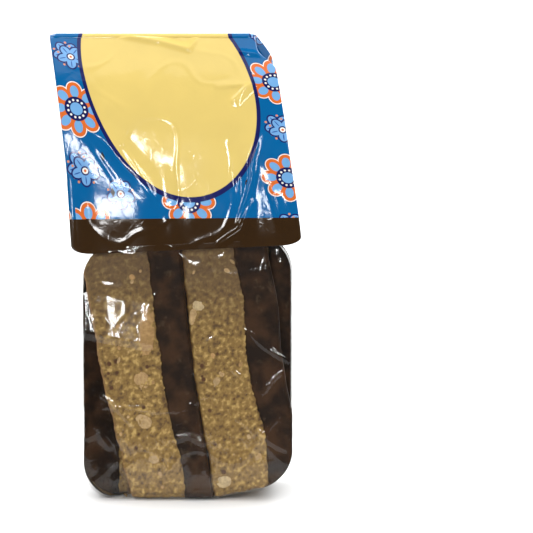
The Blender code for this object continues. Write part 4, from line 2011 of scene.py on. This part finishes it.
@dataclass(frozen=True)
class Filling:
    """Eight slices, their coats, the almond pieces and the loose crumbs."""

    form: PackForm
    bits: tuple[AlmondBit, ...] = (
        AlmondBit(-16.6, 68.0, 6.4, 22.0, 4.0, 0.95),
        AlmondBit(-18.6, 47.6, 6.2, 7.8, -12.0, 0.75),
        AlmondBit(-18.2, 31.6, 7.0, 5.6, 20.0, 0.55),
        AlmondBit(3.8, 77.6, 5.0, 4.4, 35.0, 0.05),
        AlmondBit(13.6, 6.6, 6.4, 4.6, -20.0, 0.15),
        AlmondBit(1.8, 73.4, 3.2, 7.0, 10.0, 0.6),
        AlmondBit(10.8, 47.2, 3.0, 4.4, 25.0, 0.5),
        AlmondBit(-14.0, 16.6, 4.4, 3.4, 15.0, 0.5),
        AlmondBit(27.4, 14.0, 3.6, 4.8, 0.0, 0.7),
    )
    random_bits: int = 90

    def front_slices(self) -> list[Biscotto]:
        """The two slices of the front layer, as they stand.

        Returns:
            Both slices.
        """
        left = Biscotto(
            "front_left", 0,
            crust=((0, -22.8), (10, -25.0), (21, -27.8), (48, -34.4), (66, -37.4), (78, -39.8), (90, -41.4),
                   (140, -41)),
            base=((0, 9.4), (10, 8.0), (28, 4.9), (46, 2.1), (64, 0.0), (98, -3.4), (140, -8)),
            dip=((0, 11.2), (14, 10.2), (35, 12.0), (58, 12.2), (75, 12.6), (93, 12.8), (140, 13)),
            seed=11, fine=True,
            pits=((-31.6, 54.6, 1.5), (-29.0, 55.4, 1.2), (-32.0, 50.8, 1.1), (-28.6, 51.0, 1.0),
                  (-16.6, 53.4, 1.2), (-30.8, 45.0, 1.3), (-18.0, 37.2, 1.2), (-18.4, 48.0, 0.6),
                  (-21.0, 21.0, 1.2), (-20.0, 26.4, 0.9)),
        )
        right = Biscotto(
            "front_right", 0,
            crust=((0, 10.2), (10, 8.8), (28, 5.6), (46, 2.7), (64, 0.6), (98, -2.8), (140, -7)),
            base=((0, 41.0), (12, 41.4), (31, 40.8), (46, 38.0), (60, 36.2), (78, 34.6), (98, 30.8),
                  (140, 26)),
            dip=((0, 9.6), (12, 10.2), (31, 12.4), (46, 13.2), (60, 13.4), (78, 13.0), (98, 12.8), (140, 13)),
            seed=23, fine=True,
            pits=((5.2, 53.8, 1.4), (5.8, 48.4, 1.4), (5.2, 49.6, 0.9), (13.8, 11.4, 1.5), (11.4, 58.6, 0.9),
                  (8.2, 36.0, 1.0), (10.4, 22.4, 0.9), (18.0, 40.6, 0.8)),
        )
        return [left, right]

    def hidden_slice(self, name: str, layer: int, crust_x: float, base_x: float, lean: float, seed: int,
                     dip: float, forward: float = 0.0) -> Biscotto:
        """A slice behind the front layer, domed a little and leaning by a slope.

        Args:
            name: Name of the slice.
            layer: Layer from the front.
            crust_x: Place of its crust.
            base_x: Place of its base.
            lean: Slope to the left.
            seed: Seed of its unevenness.
            dip: Depth of its coat.
            forward: How far its base swings forward.

        Returns:
            The slice.
        """
        bulge = math.copysign(2.2, crust_x - base_x)
        heights = (0.0, 35.0, 70.0, 105.0, 140.0)
        crust = [(z, crust_x - lean * (z - 50.0) + bulge * math.sin(math.pi * z / 140.0)) for z in heights]
        base = [(z, base_x - lean * (z - 50.0)) for z in heights]
        dips = [(0.0, dip), (70.0, dip + 0.6), (140.0, dip)]
        return Biscotto(name, layer, crust, base, dips, seed, forward=forward)

    def slices(self) -> list[Biscotto]:
        """Every slice, layer by layer from the front.

        Returns:
            The eight slices.
        """
        return self.front_slices() + [
            self.hidden_slice("second_left", 1, -4.6, -42.4, 0.01, 31, 13.0, 8.0),
            self.hidden_slice("second_right", 1, 3.6, 41.8, 0.02, 37, 8.6, 1.5),
            self.hidden_slice("third_left", 2, -3.6, -41.6, 0.02, 41, 12.4, 5.0),
            self.hidden_slice("third_right", 2, 2.2, 40.8, 0.10, 47, 12.8),
            self.hidden_slice("rear_left", 3, -38.6, -0.4, 0.13, 53, 12.6),
            self.hidden_slice("rear_right", 3, 2.8, 41.0, 0.12, 59, 12.2),
        ]

    def build_bits(self, trees: Growths, finish: bpy.types.Material, shaper: SliceShaper) -> bpy.types.Object:
        """Build the almond pieces: the listed ones in front, others in the rear faces.

        Args:
            trees: The geometry trees.
            finish: The almond.
            shaper: Shaper of the slices.

        Returns:
            All the pieces as one.
        """
        draw = np.random.default_rng(5)
        rows = [(b.x, shaper.first_y + 0.25, b.z, b.width, 1.3, b.height, b.turn, b.toast) for b in self.bits]
        rear = shaper.first_y + 3 * shaper.pitch + shaper.crumb_depth
        for _ in range(self.random_bits):
            front = draw.uniform() < 0.42
            z = draw.uniform(4.0, 132.0)
            upright = draw.uniform(-30.0, 34.0)
            wide, tall = draw.uniform(1.0, 2.6), draw.uniform(1.0, 3.0)
            y = shaper.first_y + 0.3 if front else rear - 0.3
            if not (6.0 < upright < 24.0 or -30.0 < upright < -10.0):
                continue
            turn, toast = draw.uniform(-60.0, 60.0), draw.uniform(0.45, 1.0)
            rows.append((upright - 0.12 * (z - 50.0), y, z, wide, 1.0, tall, turn, toast))
        table = np.array(rows)
        mesh = bpy.data.meshes.new("bit_points")
        mesh.from_pydata((shaper.hold(table[:, 0], table[:, 1], table[:, 2], 1.2) * MM).tolist(), [], [])
        half = mesh.attributes.new("half", "FLOAT_VECTOR", "POINT")
        half.data.foreach_set("vector", (table[:, 3:6] / 2 * MM).astype(np.float32).ravel())
        for label, values in (("turn", np.radians(table[:, 6])), ("toast", table[:, 7])):
            mark = mesh.attributes.new(label, "FLOAT", "POINT")
            mark.data.foreach_set("value", values.astype(np.float32))
        sizes = {"Roughness": 0.8 * MM, "Seed": 3.0, "Finish": finish}
        made = grown("almond_bits", mesh, trees.bits, sizes)
        made.data.shade_smooth()
        return settle(made)

    def build_crumbs(self, trees: Growths, finish: bpy.types.Material) -> bpy.types.Object:
        """Build the crumbs that lie on the bag's base.

        Args:
            trees: The geometry trees.
            finish: The crumb.

        Returns:
            All the crumbs as one.
        """
        xs = np.linspace(-27.0, 27.0, 28)
        ys = np.linspace(-19.0, 19.0, 20)
        across, along = np.meshgrid(xs, ys)
        height = self.form.lift(across, np.zeros_like(across)) + 0.7
        shape = GridShape(np.stack([across, along, height], axis=-1), closed=False)
        sizes = {
            "Spread": 220000.0 / (MM * 1000.0) ** 2, "Least Radius": 0.22 * MM, "Most Radius": 0.55 * MM,
            "Seed": 3, "Finish": finish,
        }
        made = grown("loose_crumbs", shape.mesh("crumb_bed"), trees.crumbs, sizes)
        made.data.shade_smooth()
        return settle(made)

    def build(self, trees: Growths, finishes: Finishes) -> None:
        """Build everything inside the film.

        Args:
            trees: The geometry trees.
            finishes: The finishes.
        """
        shaper = SliceShaper(self.form, trees, finishes)
        for slice_ in self.slices():
            shaper.crumb(slice_)
            shaper.coat(slice_)
        self.build_bits(trees, finishes.almond, shaper)
        self.build_crumbs(trees, finishes.crumb)


# --- studio


@dataclass(frozen=True)
class SoftLight:
    """A rectangular light that faces its target, in metres."""

    name: str
    azimuth: float
    elevation: float
    distance: float
    width: float
    height: float
    watts: float
    target: tuple[float, float, float] = (0.0, 0.0, 0.095)
    roll: float = 0.0

    def build(self) -> None:
        """Add the light, turned towards its target."""
        data = bpy.data.lights.new(self.name, "AREA")
        data.shape = "RECTANGLE"
        data.size = self.width
        data.size_y = self.height
        data.energy = self.watts
        lamp = bpy.data.objects.new(self.name, data)
        around, up = math.radians(self.azimuth), math.radians(self.elevation)
        away = Vector((math.sin(around) * math.cos(up), -math.cos(around) * math.cos(up), math.sin(up)))
        lamp.location = Vector(self.target) + away * self.distance
        facing = (-away).to_track_quat("-Z", "Y")
        lamp.rotation_euler = (facing @ Quaternion((0.0, 0.0, 1.0), math.radians(self.roll))).to_euler()
        bpy.context.scene.collection.objects.link(lamp)


@dataclass(frozen=True)
class Studio:
    """Floor, backdrop, soft lights and camera, in metres."""

    aim: tuple[float, float, float] = (0.0308, -0.027, 0.0934)
    camera_distance: float = 0.75
    camera_elevation: float = 3.0
    view_width: float = 0.2103
    sensor: float = 36.0
    floor_near: float = -0.15
    floor_far: float = 0.75
    floor_bend: float = 0.35
    floor_half: float = 1.6
    world_light: float = 0.13
    lights: tuple[SoftLight, ...] = (
        SoftLight("left_top", -100.0, 56.0, 1.00, 0.60, 0.45, 5.0, (0.0, -0.03, 0.0)),
        SoftLight("right_top", 100.0, 56.0, 1.00, 0.60, 0.45, 5.0, (0.0, -0.03, 0.0)),
        SoftLight("overhead", 0.0, 66.0, 0.80, 0.50, 0.30, 0.7),
        SoftLight("left_fill", -52.0, 14.0, 0.80, 0.30, 0.50, 1.25),
        SoftLight("right_fill", 56.0, 16.0, 0.80, 0.30, 0.50, 1.25),
        SoftLight("left_strip", -7.1, 20.5, 0.85, 0.046, 0.27, 1.58, roll=7.0),
        SoftLight("low_strip", -7.5, 5.8, 0.85, 0.075, 0.08, 0.74),
        SoftLight("right_strip", 17.0, 25.0, 0.80, 0.042, 0.40, 1.5),
        SoftLight("backdrop_wash", 0.0, 80.0, 1.05, 1.30, 0.80, 18.0, (0.0, 0.85, 0.0)),
    )

    def build_stage(self, finish: bpy.types.Material) -> None:
        """Build the floor, which curves up into a backdrop.

        Args:
            finish: The paper.
        """
        turn = np.linspace(0.0, np.pi / 2, 16)
        far, bend = self.floor_far, self.floor_bend
        profile = [(self.floor_near, 0.0), (far, 0.0)]
        profile += [(far + bend * math.sin(t), bend - bend * math.cos(t)) for t in turn[1:]]
        profile += [(far + bend, self.floor_half)]
        xs = np.linspace(-self.floor_half, self.floor_half, 9)
        rows = np.array([[(x, y, z) for x in xs] for y, z in profile]) / MM
        stage = bpy.data.objects.new("studio_sweep", GridShape(rows, closed=False).mesh("sweep"))
        stage.data.materials.append(finish)
        bpy.context.scene.collection.objects.link(stage)

    def build_camera(self) -> None:
        """Place the camera in front of the pack, a little above its middle."""
        data = bpy.data.cameras.new("camera")
        data.sensor_width = self.sensor
        data.lens = self.sensor * self.camera_distance / self.view_width
        camera = bpy.data.objects.new("camera", data)
        up = math.radians(self.camera_elevation)
        back = Vector((0.0, -math.cos(up), math.sin(up)))
        camera.location = Vector(self.aim) + back * self.camera_distance
        camera.rotation_euler = (-back).to_track_quat("-Z", "Y").to_euler()
        bpy.context.scene.collection.objects.link(camera)
        bpy.context.scene.camera = camera

    def build_world(self) -> None:
        """Give the room a dim, even light."""
        world = bpy.data.worlds.new("room")
        world.use_nodes = True
        sky = world.node_tree.nodes["Background"]
        sky.inputs["Color"].default_value = (1.0, 1.0, 1.0, 1.0)
        sky.inputs["Strength"].default_value = self.world_light
        bpy.context.scene.world = world
        bpy.context.scene.view_settings.view_transform = "Standard"

    def build(self, finish: bpy.types.Material) -> None:
        """Build the whole studio.

        Args:
            finish: The paper.
        """
        self.build_stage(finish)
        self.build_world()
        self.build_camera()
        for light in self.lights:
            light.build()


def main() -> None:
    """Build the pack, its filling and the studio."""
    logging.basicConfig(level=logging.INFO, format="%(name)s: %(message)s")
    finishes = Finishes()
    trees = Growths()
    form = PackForm()
    PrintedSleeve(form).build(trees, finishes.printed)
    FoldedFlap(form).build(trees, finishes.printed)
    ClearBag(form).build(trees, finishes.clear)
    Filling(form).build(trees, finishes)
    Studio().build(finishes.paper)


if __name__ == "__main__":
    main()
